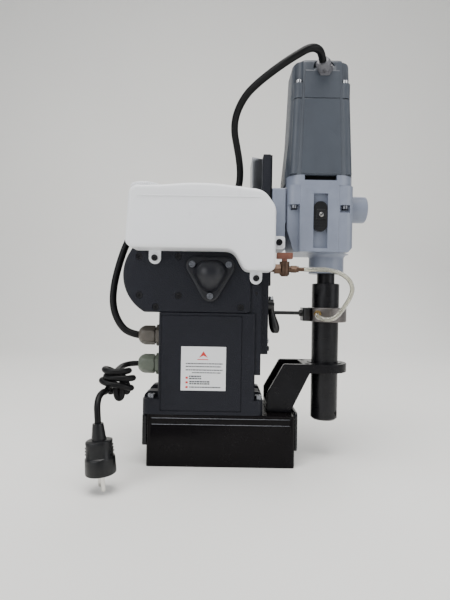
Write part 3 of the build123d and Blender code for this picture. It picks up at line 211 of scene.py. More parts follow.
M = {
    "magnet": material("magnet_black", (9, 7, 9), 0.24, vary=0.3, patch=25, grain=(60, 0.12), coat=0.03,
                       marks=0.05, dust=0.01, specular=0.1),
    "textured": material("textured_black", (18, 20, 29), 0.5, vary=0.10, patch=14, grain=(1500, 0.5),
                         cells=700, dust=0.02, specular=0.26),
    "gloss": material("gloss_black", (12, 13, 17), 0.28, vary=0.2, patch=30, grain=(120, 0.05), coat=0.08,
                      dust=0.02, specular=0.3),
    "moulded": material("moulded_black", (24, 25, 31), 0.4, vary=0.08, patch=40, grain=(500, 0.06),
                        specular=0.4),
    "casting": material("bracket_black", (10, 10, 14), 0.3, vary=0.2, patch=35, grain=(220, 0.2), coat=0.03,
                        dust=0.01, specular=0.16),
    "grey": material("grey_casting", (124, 131, 147), 0.4, vary=0.06, patch=60, grain=(700, 0.22),
                     marks=0.04),
    "motor": material("motor_plastic", (62, 68, 77), 0.46, vary=0.06, patch=50, grain=(1600, 0.35),
                      dust=0.02),
    "tank": material("tank_white", (243, 245, 249), 0.34, vary=0.015, patch=18, grain=(70, 0.05), soft=0.3,
                     soft_radius=(0.009, 0.009, 0.009)),
    "cap": material("cap_white", (240, 242, 245), 0.4, vary=0.02, grain=(500, 0.08), soft=0.2,
                    soft_radius=(0.004, 0.004, 0.004)),
    "oxide": material("black_oxide", (20, 20, 23), 0.32, 0.5, vary=0.25, patch=60, grain=(60, 0.12),
                      stretch=(1, 1, 14), marks=0.08),
    "ground": material("ground_steel", (120, 122, 128), 0.3, 0.95, vary=0.1, grain=(80, 0.1),
                       stretch=(1, 1, 12)),
    "machined": material("machined_ways", (152, 154, 158), 0.34, 0.9, vary=0.12, grain=(90, 0.15),
                         stretch=(1, 14, 1)),
    "collar": material("turned_steel", (108, 104, 102), 0.32, 0.85, vary=0.18, grain=(70, 0.15),
                       stretch=(1, 1, 16)),
    "screw": material("screw_black", (27, 27, 30), 0.4, 0.5, vary=0.3, grain=(600, 0.15)),
    "zinc": material("screw_zinc", (200, 202, 205), 0.25, 0.95, vary=0.1, grain=(500, 0.1)),
    "brass": material("brass", (176, 150, 98), 0.3, 0.95, vary=0.2, grain=(400, 0.12)),
    "tarnish": material("tarnished_brass", (80, 62, 50), 0.36, 0.7, vary=0.4, patch=160, grain=(260, 0.3)),
    "aged": material("aged_handle", (124, 82, 68), 0.42, 0.35, vary=0.25, patch=120, grain=(260, 0.25)),
    "nylon": material("gland_nylon", (96, 103, 92), 0.42, vary=0.12, patch=80, grain=(900, 0.15)),
    "nylon_brown": material("gland_nylon_brown", (88, 83, 76), 0.42, vary=0.12, patch=80,
                            grain=(900, 0.15)),
    "nylon_grey": material("gland_nylon_grey", (98, 98, 103), 0.4, vary=0.1, patch=80, grain=(900, 0.15)),
    "rubber": material("cable_black", (9, 9, 11), 0.42, vary=0.2, patch=120, grain=(800, 0.2), dust=0.01,
                       specular=0.2),
    "plug": material("plug_black", (11, 12, 14), 0.34, vary=0.15, patch=80, grain=(1200, 0.3),
                     specular=0.35),
    "pin": material("plated_pin", (215, 213, 208), 0.16, 1.0, vary=0.04, grain=(300, 0.04)),
    "hose": material("clear_hose", (226, 225, 212), 0.16, vary=0.05, grain=(300, 0.05), clear=0.84,
                     coat=0.4),
    "label": material("label_white", (226, 227, 229), 0.34, vary=0.015, grain=(300, 0.03)),
    "ink": material("label_ink", (62, 64, 68), 0.5, vary=0.1, grain=(300, 0.02)),
    "ink_red": material("label_red", (196, 40, 36), 0.45, vary=0.1, grain=(300, 0.02)),
    # Flat black for sheets and bars set where a slot lies in shade: painted shade.
    "painted_shade": material("painted_shade_black", (8, 8, 9), 0.8, vary=0.2, grain=(300, 0.1), specular=0.1),
    "knob": material("knob_black", (10, 11, 13), 0.36, vary=0.15, patch=90, grain=(1200, 0.25)),
    "board": material("circuit_board", (24, 70, 44), 0.5, vary=0.2, grain=(300, 0.1)),
    "copper": material("winding", (150, 84, 48), 0.4, 0.6, vary=0.3, grain=(200, 0.6), stretch=(1, 1, 8)),
    "resin": material("coil_resin", (42, 40, 40), 0.35, vary=0.25, grain=(180, 0.15)),
    "red": material("button_red", (180, 30, 28), 0.3, vary=0.08, grain=(500, 0.05), coat=0.3),
    "green": material("button_green", (36, 128, 62), 0.3, vary=0.08, grain=(500, 0.05), coat=0.3),
    "floor": material("studio_floor", (246, 245, 241), 0.7, vary=0.01, patch=2, grain=(300, 0.02)),
}

# The finish of every CAD node that stays; nodes that are replaced below keep it too.
NODE_FINISH = {
    "magnet_shell": "magnet", "magnet_coil": "resin", "end_plates": "gloss", "magnet_screws": "ground",
    "column_casting": "textured", "side_cover": "textured", "rating_label": "label", "control_board": "board",
    "gib_strip": "brass", "gib_screws": "screw", "cable_glands": "nylon", "feed_housing": "textured",
    "feed_cover": "textured", "bearing_cap": "moulded", "cover_screws": "screw", "shaft_bearings": "ground",
    "feed_shaft": "ground", "handle_hub": "ground", "handle_grips": "knob", "pinion_shaft": "ground",
    "feed_rack": "ground", "carriage_slide": "textured", "motor_bracket": "grey", "gearbox_housing": "grey",
    "motor_flange": "grey", "motor_housing": "motor", "motor_end_cap": "motor", "motor_screws": "ground",
    "motor_gland": "nylon_grey", "stator": "copper", "brush_holders": "brass", "ball_bearings": "ground",
    "armature": "copper", "layshaft_gear": "ground", "spindle": "oxide", "arbor": "oxide",
    "arbor_set_screws": "screw", "coolant_collar": "collar", "collar_arm": "knob", "collar_elbow": "brass",
    "support_bracket": "casting", "support_bushing": "oxide", "coolant_tank": "tank", "tank_cap": "cap",
    "tank_strap": "casting", "valve_body": "tarnish", "valve_handle": "aged", "selector_knob": "knob",
    "clamp_lever": "knob", "control_panel": "textured", "magnet_switch": "knob", "start_button": "green",
    "stop_button": "red", "mains_cord_upper": "rubber", "mains_cord_lower": "rubber", "cord_hank": "rubber",
    "mains_plug": "plug", "plug_pins": "pin", "motor_cable": "rubber", "coolant_hose": "hose",
}
for node, finish in NODE_FINISH.items():
    held = frame["nodes"][node]
    for held_slot in held.material_slots:
        held_slot.material = M[finish]


# ---------------------------------------------------------------- mesh helpers
def finish_piece(name, bm, finishes, body, smooth_angle=32.0):
    """Make an object of a bmesh, sharp where its faces turn more than the angle, and ride it on a body."""
    bmesh.ops.recalc_face_normals(bm, faces=bm.faces)
    for face in bm.faces:
        face.smooth = True
    limit = math.radians(smooth_angle)
    for edge in bm.edges:
        edge.smooth = len(edge.link_faces) != 2 or edge.calc_face_angle(0.0) < limit
    mesh = bpy.data.meshes.new(name)
    bm.to_mesh(mesh)
    bm.free()
    for finish in finishes:
        mesh.materials.append(M[finish])
    obj = bpy.data.objects.new(name, mesh)
    scene.collection.objects.link(obj)
    if body:
        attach(obj, body)
    return obj


def soften(obj, width, segments, angle=30.0, weighted=False, clamp=False):
    """Round a piece's sharp edges, or only those its mesh gives a bevel weight, by a width in metres.

    With clamp, the rounding is held back where edges crowd.
    """
    bevel = obj.modifiers.new("soft_edges", "BEVEL")
    bevel.width = width
    bevel.segments = segments
    bevel.limit_method = "WEIGHT" if weighted else "ANGLE"
    bevel.angle_limit = math.radians(angle)
    bevel.harden_normals = True
    bevel.use_clamp_overlap = clamp
    bevel.miter_outer = "MITER_ARC"


def rounded(node, width, segments, special=None, shortest=0.0, clamp=False):
    """A piece with a CAD node's shape and softly rounded edges, in place of the node.

    special is a second finish and a test of which faces take it. With a shortest length in mm, only sharp edges
    longer than that are rounded.
    """
    bm = bmesh.new()
    bm.from_mesh(frame["nodes"][node].data)
    bmesh.ops.remove_doubles(bm, verts=bm.verts, dist=2e-6)
    bmesh.ops.dissolve_limit(bm, angle_limit=math.radians(0.6), verts=bm.verts, edges=bm.edges)
    bmesh.ops.remove_doubles(bm, verts=bm.verts, dist=2e-5)
    finishes = [NODE_FINISH[node]]
    if special:
        other, test = special
        finishes.append(other)
        for face in bm.faces:
            if test(face.calc_center_median() / MM, face.normal):
                face.material_index = 1
            else:
                face.material_index = 0
    else:
        for face in bm.faces:
            face.material_index = 0
    if shortest:
        weight = bm.edges.layers.float.new("bevel_weight_edge")
        for edge in bm.edges:
            sharp = len(edge.link_faces) == 2 and edge.calc_face_angle(0.0) > math.radians(50)
            edge[weight] = 1.0 if sharp and edge.calc_length() > shortest * MM else 0.0
    obj = finish_piece(node + "_shape", bm, finishes, body_of_node[node])
    soften(obj, width * MM, segments, weighted=bool(shortest), clamp=clamp)
    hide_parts(node)


def add_prism(bm, outline, plane, low, high):
    """A prism in a bmesh: an outline of 2-D points in mm, on a named plane, between two depths in mm."""
    place = {
        "XZ": lambda a, b, c: (a, c, b), "XY": lambda a, b, c: (a, b, c), "YZ": lambda a, b, c: (c, a, b),
    }[plane]
    rings = []
    for depth in (low, high):
        rings.append([bm.verts.new(Vector(place(a, b, depth)) * MM) for a, b in outline])
    bm.faces.new(rings[0])
    bm.faces.new(list(reversed(rings[1])))
    count = len(outline)
    for i in range(count):
        j = (i + 1) % count
        bm.faces.new((rings[0][i], rings[0][j], rings[1][j], rings[1][i]))


def add_skin(bm, rings):
    """Faces between closed rings of equal length, each joined to the next."""
    for first, second in zip(rings, rings[1:]):
        for step in range(len(first)):
            after = (step + 1) % len(first)
            bm.faces.new((first[step], second[step], second[after], first[after]))


def add_lathe(bm, profile, origin, axis, steps, radius_at=None):
    """A turned solid: (radius, along) pairs in mm about an axis. radius_at changes a radius with angle."""
    axis = Vector(axis).normalized()
    side = axis.orthogonal().normalized()
    other = axis.cross(side)
    origin = Vector(origin)
    rings = []
    for index, (radius, along) in enumerate(profile):
        if radius < 1e-6:
            rings.append([bm.verts.new((origin + axis * along) * MM)])
            continue
        ring = []
        for step in range(steps):
            angle = 2 * math.pi * step / steps
            r = radius if radius_at is None else radius_at(radius, angle, index)
            point = origin + axis * along + (side * math.cos(angle) + other * math.sin(angle)) * r
            ring.append(bm.verts.new(point * MM))
        rings.append(ring)
    for first, second in zip(rings, rings[1:]):
        for step in range(steps):
            after = (step + 1) % steps
            if len(first) == 1 and len(second) == 1:
                continue
            if len(first) == 1:
                bm.faces.new((first[0], second[step], second[after]))
            elif len(second) == 1:
                bm.faces.new((first[step], second[0], first[after]))
            else:
                bm.faces.new((first[step], second[step], second[after], first[after]))
    for ring, flip in ((rings[0], True), (rings[-1], False)):
        if len(ring) > 1:
            bm.faces.new(list(reversed(ring)) if flip else ring)


def rounded_outline(x0, x1, z0, z1, radius, steps=6):
    """A rectangle's outline with rounded corners."""
    points = []
    for cx, cz, start in (
        (x1 - radius, z1 - radius, 0), (x0 + radius, z1 - radius, 90),
        (x0 + radius, z0 + radius, 180), (x1 - radius, z0 + radius, 270),
    ):
        for step in range(steps + 1):
            angle = math.radians(start + 90 * step / steps)
            points.append((cx + radius * math.cos(angle), cz + radius * math.sin(angle)))
    return points


# ---------------------------------------------------------------- cords
def route_line(name, points, resolution=10):
    """A smooth NURBS line with a route's points as its control points."""
    curve = bpy.data.curves.new(name, "CURVE")
    curve.dimensions = "3D"
    curve.resolution_u = resolution
    spline = curve.splines.new("NURBS")
    spline.points.add(len(points) - 1)
    for control, point in zip(spline.points, points):
        control.co = (*point, 1.0)
    spline.order_u = 3
    spline.use_endpoint_u = True
    return curve


def sampled(curve):
    """The points along a route's line, read from the line itself."""
    holder = bpy.data.objects.new("holder", curve)
    scene.collection.objects.link(holder)
    mesh = bpy.data.meshes.new_from_object(holder)
    path = [vertex.co.copy() for vertex in mesh.vertices]
    bpy.data.objects.remove(holder)
    bpy.data.meshes.remove(mesh)
    return path


def tube_piece(name, path, radius, finish, body, bore=0.0):
    """A round mesh tube along a path, open through its middle where a bore is given."""
    bm = bmesh.new()
    steps = 20
    tangents = []
    for i in range(len(path)):
        ahead = path[min(i + 1, len(path) - 1)]
        behind = path[max(i - 1, 0)]
        tangents.append((ahead - behind).normalized())
    side = tangents[0].orthogonal().normalized()
    frames = []
    for i, tangent in enumerate(tangents):
        if i:
            side = tangents[i - 1].rotation_difference(tangent) @ side
        side = (side - tangent * side.dot(tangent)).normalized()
        frames.append((side.copy(), tangent.cross(side)))
    shells = []
    for r in ([radius] if not bore else [radius, bore]):
        rings = []
        for point, (a, b) in zip(path, frames):
            ring = []
            for step in range(steps):
                angle = 2 * math.pi * step / steps
                ring.append(bm.verts.new(point + (a * math.cos(angle) + b * math.sin(angle)) * r))
            rings.append(ring)
        add_skin(bm, rings)
        shells.append(rings)
    for end in (0, -1):
        if bore:
            for step in range(steps):
                after = (step + 1) % steps
                outer, inner = shells[0][end], shells[1][end]
                bm.faces.new((outer[step], outer[after], inner[after], inner[step]))
        else:
            bm.faces.new(shells[0][end])
    return finish_piece(name, bm, [finish], body, smooth_angle=60.0)


MAINS_RADIUS = 0.0038
MOTOR_CABLE_RADIUS = 0.005
HOSE_RADIUS = 0.003
HOSE_BORE_RADIUS = 0.0019

# Mains cord: from the lower gland, back of the hank, three wraps round the folded core, and down to the plug.
cord_points = [
    (-0.117, -0.020, 0.134), (-0.1245, -0.021, 0.1338), (-0.1315, -0.025, 0.1332),
    (-0.136, -0.032, 0.1322), (-0.138, -0.0405, 0.131), (-0.1385, -0.051, 0.1298),
    (-0.138, -0.0615, 0.129), (-0.1373, -0.070, 0.1286), (-0.1415, -0.0755, 0.1322),
    (-0.1468, -0.081, 0.1352),
]
WRAP_KEYS = (  # turn in degrees, middle X, half width, Z: as the three visible wraps lie
    (180, -0.1322, 0.0148, 0.1358), (270, -0.1322, 0.0148, 0.1345), (360, -0.1312, 0.0150, 0.1345),
    (450, -0.1300, 0.0158, 0.1298), (540, -0.1285, 0.0168, 0.1272), (630, -0.1278, 0.0172, 0.1268),
    (720, -0.1278, 0.0174, 0.1252), (810, -0.1290, 0.0180, 0.1215), (900, -0.1312, 0.0192, 0.1222),
    (990, -0.1316, 0.0193, 0.1187), (1080, -0.1316, 0.0190, 0.1124), (1170, -0.1310, 0.0180, 0.1110),
)
WRAP_MIDDLE_Y = -0.0883
WRAP_HALF_DEPTH = 0.0128


def wrap_point(turn):
    """A point of the wraps at a turn in degrees: back is 90, left is 180, towards the viewer is 270."""
    for (t0, x0, a0, z0), (t1, x1, a1, z1) in zip(WRAP_KEYS, WRAP_KEYS[1:]):
        if t0 <= turn <= t1:
            share = (turn - t0) / (t1 - t0)
            break
    ease = share * share * (3 - 2 * share)
    angle = math.radians(turn)
    return (
        x0 + (x1 - x0) * share + (a0 + (a1 - a0) * share) * math.cos(angle),
        WRAP_MIDDLE_Y + WRAP_HALF_DEPTH * math.sin(angle),
        z0 + (z1 - z0) * ease,
    )


cord_points += [wrap_point(turn) for turn in range(180, 1151, 30)]
cord_points += [
    (-0.1365, -0.0775, 0.1078), (-0.1405, -0.0815, 0.1052), (-0.1425, -0.0853, 0.1085),
    (-0.1405, -0.0865, 0.1175), (-0.137, -0.087, 0.1255), (-0.132, -0.0862, 0.1300),
    (-0.1248, -0.0848, 0.1275), (-0.1200, -0.0835, 0.1190), (-0.1175, -0.0838, 0.1100),
    (-0.1190, -0.0862, 0.1062), (-0.1218, -0.0880, 0.1100), (-0.1228, -0.0885, 0.1180),
    (-0.1235, -0.0912, 0.1230), (-0.1238, -0.0932, 0.1150), (-0.1232, -0.0928, 0.1060),
    (-0.1250, -0.0924, 0.1002), (-0.1292, -0.0924, 0.1002), (-0.1310, -0.0926, 0.1060),
    (-0.1315, -0.0926, 0.1145), (-0.1338, -0.0928, 0.1200), (-0.1382, -0.0930, 0.1170),
    (-0.1415, -0.0952, 0.1112), (-0.1428, -0.0995, 0.1090), (-0.143, -0.1065, 0.1112),
    (-0.1455, -0.117, 0.108), (-0.145, -0.1265, 0.100), (-0.1435, -0.130, 0.0895),
    (-0.1426, -0.1303, 0.079),
]
mains_line = route_line("mains_cord", cord_points, 12)
mains_line.bevel_depth = MAINS_RADIUS
mains_line.bevel_resolution = 6
mains_line.use_fill_caps = True
mains_line.materials.append(M["rubber"])
mains_cord = bpy.data.objects.new("mains_cord", mains_line)
scene.collection.objects.link(mains_cord)
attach(mains_cord, "base")
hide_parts("mains_cord_upper", "cord_hank", "mains_cord_lower")

# Motor cable: from the motor's gland over the feed housing and down to the upper rear gland.
motor_points = [
    (0.12911, -0.05065, 0.54909), (0.12491, -0.06107, 0.55329), (0.1198, -0.0671, 0.5547),
    (0.113, -0.0715, 0.5543), (0.105, -0.0737, 0.5517), (0.094, -0.073, 0.5455),
    (0.079, -0.0695, 0.5375), (0.061, -0.061, 0.528), (0.043, -0.051, 0.5175), (0.028, -0.041, 0.5065),
    (0.018, -0.031, 0.4925), (0.0128, -0.023, 0.478), (0.0125, -0.0155, 0.463), (0.0165, -0.009, 0.446),
    (0.0205, -0.004, 0.427), (0.0225, 0.0, 0.407), (0.020, 0.003, 0.386), (0.009, 0.005, 0.368),
    (-0.012, 0.007, 0.356), (-0.042, 0.008, 0.3525), (-0.074, 0.008, 0.354), (-0.103, 0.006, 0.351),
    (-0.127, 0.004, 0.333), (-0.142, 0.001, 0.305), (-0.152, -0.002, 0.272), (-0.158, -0.006, 0.240),
    (-0.157, -0.011, 0.212), (-0.147, -0.016, 0.190), (-0.133, -0.0194, 0.1765),
    (-0.117, -0.020, 0.174),
]
motor_path = sampled(route_line("motor_cable_line", motor_points))
motor_cable = tube_piece("motor_cable_tube", motor_path, MOTOR_CABLE_RADIUS, "rubber", None)
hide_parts("motor_cable")
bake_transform(motor_cable)

# Coolant hose: from the valve's barb round to the collar's elbow.
hose_points = [
    (0.105, -0.070, 0.2665), (0.119, -0.070, 0.2665), (0.138, -0.067, 0.267), (0.156, -0.062, 0.2625),
    (0.168, -0.059, 0.254), (0.1725, -0.058, 0.2425), (0.169, -0.058, 0.2305), (0.162, -0.0585, 0.2195),
    (0.155, -0.060, 0.210), (0.1475, -0.0615, 0.203), (0.1377, -0.0603, 0.201),
    (0.1306, -0.0552, 0.203), (0.12694, -0.04789, 0.20561), (0.1294, -0.0404, 0.2069),
]
hose_path = sampled(route_line("coolant_hose_line", hose_points))
hose = tube_piece("coolant_hose_tube", hose_path, HOSE_RADIUS, "hose", None, HOSE_BORE_RADIUS)
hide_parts("coolant_hose")
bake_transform(hose)

# ---------------------------------------------------------------- plug
PLUG_TOP = Vector((-142.6, -130.3, 79.0))
CORD_ABOVE_PLUG = Vector((-143.5, -130.0, 89.5))
PLUG_DOWN = (PLUG_TOP - CORD_ABOVE_PLUG).normalized()
PLUG_X = (Vector((1, 0, 0)) - PLUG_DOWN * PLUG_DOWN.x).normalized()
PLUG_Y = PLUG_DOWN.cross(PLUG_X)
GRIP_START = 24
GRIP_HALF_WIDTH = 13.9
GRIP_FLARE = 0.06
PIN_FOOT = 57.5
PIN_TURN = math.radians(64)
PIN_HALF_SPACING = 9.5


def plug_body():
    """The moulded plug: cord sleeve, shouldered grip with ribs, and round face."""
    bm = bmesh.new()
    sections = [  # distance down, half widths, power of the rounded outline
        (0.0, 6.2, 6.2, 2.0), (1.2, 6.5, 6.5, 2.0), (17.6, 8.4, 8.4, 2.0), (18.6, 8.5, 8.5, 2.0),
        (18.8, 13.4, 11.0, 2.6), (19.6, 14.9, 12.6, 2.8), (21.5, 15.2, 13.4, 2.8), (24.5, 14.6, 13.6, 2.8),
        (37.5, 15.4, 14.6, 2.6), (38.6, 16.8, 16.4, 2.2), (40.5, 17.4, 17.2, 2.0), (55.5, 17.9, 17.9, 2.0),
        (57.2, 17.6, 17.6, 2.0), (58.0, 16.6, 16.6, 2.0),
    ]
    steps = 64
    rings = []
    for along, half_x, half_y, power in sections:
        ring = []
        for step in range(steps):
            angle = 2 * math.pi * step / steps
            c, s = math.cos(angle), math.sin(angle)
            scale = (abs(c) ** power + abs(s) ** power) ** (-1 / power)
            out = PLUG_X * (c * scale * half_x) + PLUG_Y * (s * scale * half_y)
            ring.append(bm.verts.new((PLUG_TOP + PLUG_DOWN * along + out) * MM))
        rings.append(ring)
    add_skin(bm, rings)
    bm.faces.new(rings[0])
    bm.faces.new(rings[-1])
    # Three grip ribs on each side.
    for side in (-1, 1):
        for along in (26.5, 30.0, 33.5):
            reach = GRIP_HALF_WIDTH + (along - GRIP_START) * GRIP_FLARE
            middle = PLUG_TOP + PLUG_DOWN * along + PLUG_X * (side * reach)
            add_lathe(bm, [(0, -7.5), (0.9, -7.0), (1.15, -5), (1.15, 5), (0.9, 7.0), (0, 7.5)],
                      middle, PLUG_Y, 12)
    return finish_piece("mains_plug_moulding", bm, ["plug"], "base", 40)


plug = plug_body()
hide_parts("mains_plug")
PIN_LINE = PLUG_X * math.cos(PIN_TURN) + PLUG_Y * math.sin(PIN_TURN)
bm = bmesh.new()
for sign in (-1, 1):
    foot = PLUG_TOP + PLUG_DOWN * PIN_FOOT + PIN_LINE * (PIN_HALF_SPACING * sign)
    add_lathe(bm, [(2.4, 0), (2.4, 16.2), (2.15, 17.6), (1.3, 18.4), (0, 18.5)], foot, PLUG_DOWN, 28)
pins = finish_piece("plug_pins_turned", bm, ["pin"], "base", 50)
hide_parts("plug_pins")

# ---------------------------------------------------------------- castings with rounded edges
WAYS_FOOT_Z = 120
WAYS_REAR_X = 37.3
WAYS_HALF_WIDTH = 36
SLIDE_REAR_X = 52.9
CAP_SCREWS_REACH = 36
UPPER_SCREWS_Z = 480


def is_ways(centre, normal):
    """The scraped faces of the column's dovetail."""
    in_ways = centre.z > WAYS_FOOT_Z and centre.x > WAYS_REAR_X and abs(centre.y) < WAYS_HALF_WIDTH
    return in_ways and abs(normal.z) < 0.5


def is_slide(centre, normal):
    """The machined rear of the carriage."""
    return centre.x < SLIDE_REAR_X


def is_cap_screw(centre, normal):
    """The three bright screws of the bearing cap; the cover's keep their own finish."""
    return math.hypot(centre.x - FEED_SHAFT_XZ[0], centre.z - FEED_SHAFT_XZ[1]) < CAP_SCREWS_REACH


def is_upper_screw(centre, normal):
    """The bright zinc screws of the motor's end cap; the lower ones keep darker ground steel as painted shade."""
    return centre.z > UPPER_SCREWS_Z


# Node, width of the rounding in mm, its segments, and options.
# A rounding is clamped on the pieces where a full one breaks a large face.
ROUNDINGS = (
    ("magnet_shell", 1.1, 3, {"shortest": 30, "clamp": True}),
    ("end_plates", 1.2, 3, {}),
    ("column_casting", 0.7, 2, {"special": ("machined", is_ways), "clamp": True}),
    ("side_cover", 0.8, 2, {}),
    ("feed_housing", 1.0, 2, {}),
    ("feed_cover", 0.6, 2, {"clamp": True}),
    ("carriage_slide", 0.5, 2, {"special": ("machined", is_slide)}),
    ("motor_bracket", 0.8, 2, {}),
    ("gearbox_housing", 0.7, 2, {"clamp": True}),
    ("motor_flange", 0.12, 2, {"clamp": True}),
    ("motor_housing", 0.8, 2, {"clamp": True}),
    ("motor_end_cap", 0.5, 2, {"clamp": True}),
    ("motor_gland", 0.1, 2, {}),
    ("arbor", 0.2, 2, {"clamp": True}),
    ("spindle", 0.3, 2, {}),
    ("coolant_collar", 0.4, 2, {}),
    ("collar_arm", 0.4, 2, {}),
    ("collar_elbow", 0.25, 2, {"clamp": True}),
    ("support_bracket", 1.2, 3, {}),
    ("coolant_tank", 0.8, 3, {"clamp": True}),
    ("tank_strap", 0.5, 2, {}),
    ("valve_body", 0.35, 2, {"clamp": True}),
    ("valve_handle", 0.5, 2, {}),
    ("selector_knob", 0.4, 2, {"clamp": True}),
    ("clamp_lever", 1.0, 3, {"clamp": True}),
    ("control_panel", 0.6, 2, {}),
    ("magnet_switch", 0.8, 3, {}),
    ("handle_hub", 0.5, 2, {}),
    ("magnet_screws", 0.3, 2, {}),
    ("cover_screws", 0.25, 2, {"special": ("ground", is_cap_screw)}),
    # The lower motor screws keep the darker ground steel: painted shade.
    ("motor_screws", 0.25, 2, {"special": ("zinc", is_upper_screw)}),
)
for node, width, segments, options in ROUNDINGS:
    rounded(node, width, segments, **options)

# ---------------------------------------------------------------- cable glands with six-sided nuts
FLAT_TURN = math.radians(45)
SIXTH = math.radians(60)


def six_sided(apothem):
    """A radius rule for add_lathe that cuts a turned piece to six flats, one of them towards the viewer."""
    def rule(radius, angle, index):
        local = (angle - FLAT_TURN + SIXTH / 2) % SIXTH - SIXTH / 2
        return min(radius, apothem / math.cos(local))
    return rule


GLAND_SEAT_X = -85.6
GLAND_Y = -20
GLANDS = (  # height, finish, name, mouth radius
    (174.0, "nylon_brown", "gland_upper", 5.2),
    (134.0, "nylon", "gland_lower", 4.0),
)
for height, finish, name, mouth in GLANDS:
    middle = (GLAND_SEAT_X, GLAND_Y, height)
    bm = bmesh.new()
    add_lathe(bm, [(14.4, 0.1), (15.0, 0.7), (15.0, 5.9), (14.4, 6.5)], middle, REARWARD, 72,
              six_sided(13.0))
    add_lathe(bm, [(10.0, 6.4), (10.0, 9.4)], middle, REARWARD, 48)
    add_lathe(bm, [(12.4, 8.4), (13.6, 9.4), (13.6, 22.0), (13.0, 24.2), (11.8, 26.8), (10.0, 29.2),
                   (7.6, 30.9), (mouth + 0.6, 31.3), (mouth, 30.0)], middle, REARWARD, 96,
              six_sided(11.9))
    gland = finish_piece(name, bm, [finish], "base", 24)
    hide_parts("cable_glands")

# ---------------------------------------------------------------- bearing cap: three-cornered, moulded
def three_cornered(centre_distance, radius):
    """The distance from the middle, at even angles, of a triangle with corners of a radius."""
    distances = []
    steps = 96
    arc_ends = math.atan2(radius * math.sin(SIXTH), centre_distance + radius * math.cos(SIXTH))
    for step in range(steps):
        angle = 2 * math.pi * step / steps
        off = abs((angle - math.radians(30) + SIXTH) % (2 * SIXTH) - SIXTH)
        if off > arc_ends:
            distance = (centre_distance / 2 + radius) / math.cos(SIXTH - off)
        else:
            distance = centre_distance * math.cos(off) + math.sqrt(
                radius ** 2 - (centre_distance * math.sin(off)) ** 2)
        distances.append((angle, distance))
    return distances


def cap_rings(bm, levels):
    """Stacked three-cornered rings, closed at both ends: (corner distance, radius, inset, Y) of each."""
    rings = []
    for centre_distance, radius, inset, y in levels:
        ring = []
        for angle, distance in three_cornered(centre_distance, radius):
            r = distance - inset
            ring.append(bm.verts.new(Vector((
                FEED_SHAFT_XZ[0] + r * math.cos(angle), y, FEED_SHAFT_XZ[1] + r * math.sin(angle))) * MM))
        rings.append(ring)
    add_skin(bm, rings)
    bm.faces.new(rings[0])
    bm.faces.new(list(reversed(rings[-1])))


bm = bmesh.new()
cap_rings(bm, [(24, 12, 0, -49.2), (24, 12, 0, -54.2), (24, 12, 0.6, -55.4), (24, 12, 1.6, -55.9),
               (24, 12, 3.2, -56), (24, 12, 4.6, -56)])
cap_rings(bm, [(7.0, 15.0, -2.0, -55.2), (7.0, 15.0, -1.8, -56.0), (7.0, 15.0, -1.0, -56.6),
               (6.8, 15.0, -0.3, -57.8), (6.4, 15.0, 0, -60), (5.8, 14.4, 0, -63.4), (4.9, 13.4, 0, -66.6),
               (3.8, 11.8, 0, -69.6), (2.8, 9.6, 0, -71.9), (1.8, 6.8, 0, -73.6), (1.0, 3.8, 0, -74.6),
               (0.3, 0.9, 0, -75.0)])
bearing_cap = finish_piece("bearing_cap_moulded", bm, ["moulded"], "base", 60)
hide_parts("bearing_cap")

# ---------------------------------------------------------------- motor: raised panels, corner bosses
SLAB_ROUNDING = 0.8
BOSS_ROUNDING = 0.6
BOSS_RADIUS = 7.4
BOSS_FOOT = (35.5, 33.6)
BOSS_TOP = (31.6, 32.4)
CAP_BOSS_HEIGHT = 21.2


def slab(name, corners_low, corners_high, finish, body):
    """A slab between two four-cornered faces given in mm, with rounded edges."""
    bm = bmesh.new()
    low = [bm.verts.new(Vector(c) * MM) for c in corners_low]
    high = [bm.verts.new(Vector(c) * MM) for c in corners_high]
    bm.faces.new(low)
    bm.faces.new(list(reversed(high)))
    for i in range(4):
        j = (i + 1) % 4
        bm.faces.new((low[i], low[j], high[j], high[i]))
    obj = finish_piece(name, bm, [finish], body)
    soften(obj, SLAB_ROUNDING * MM, 3)


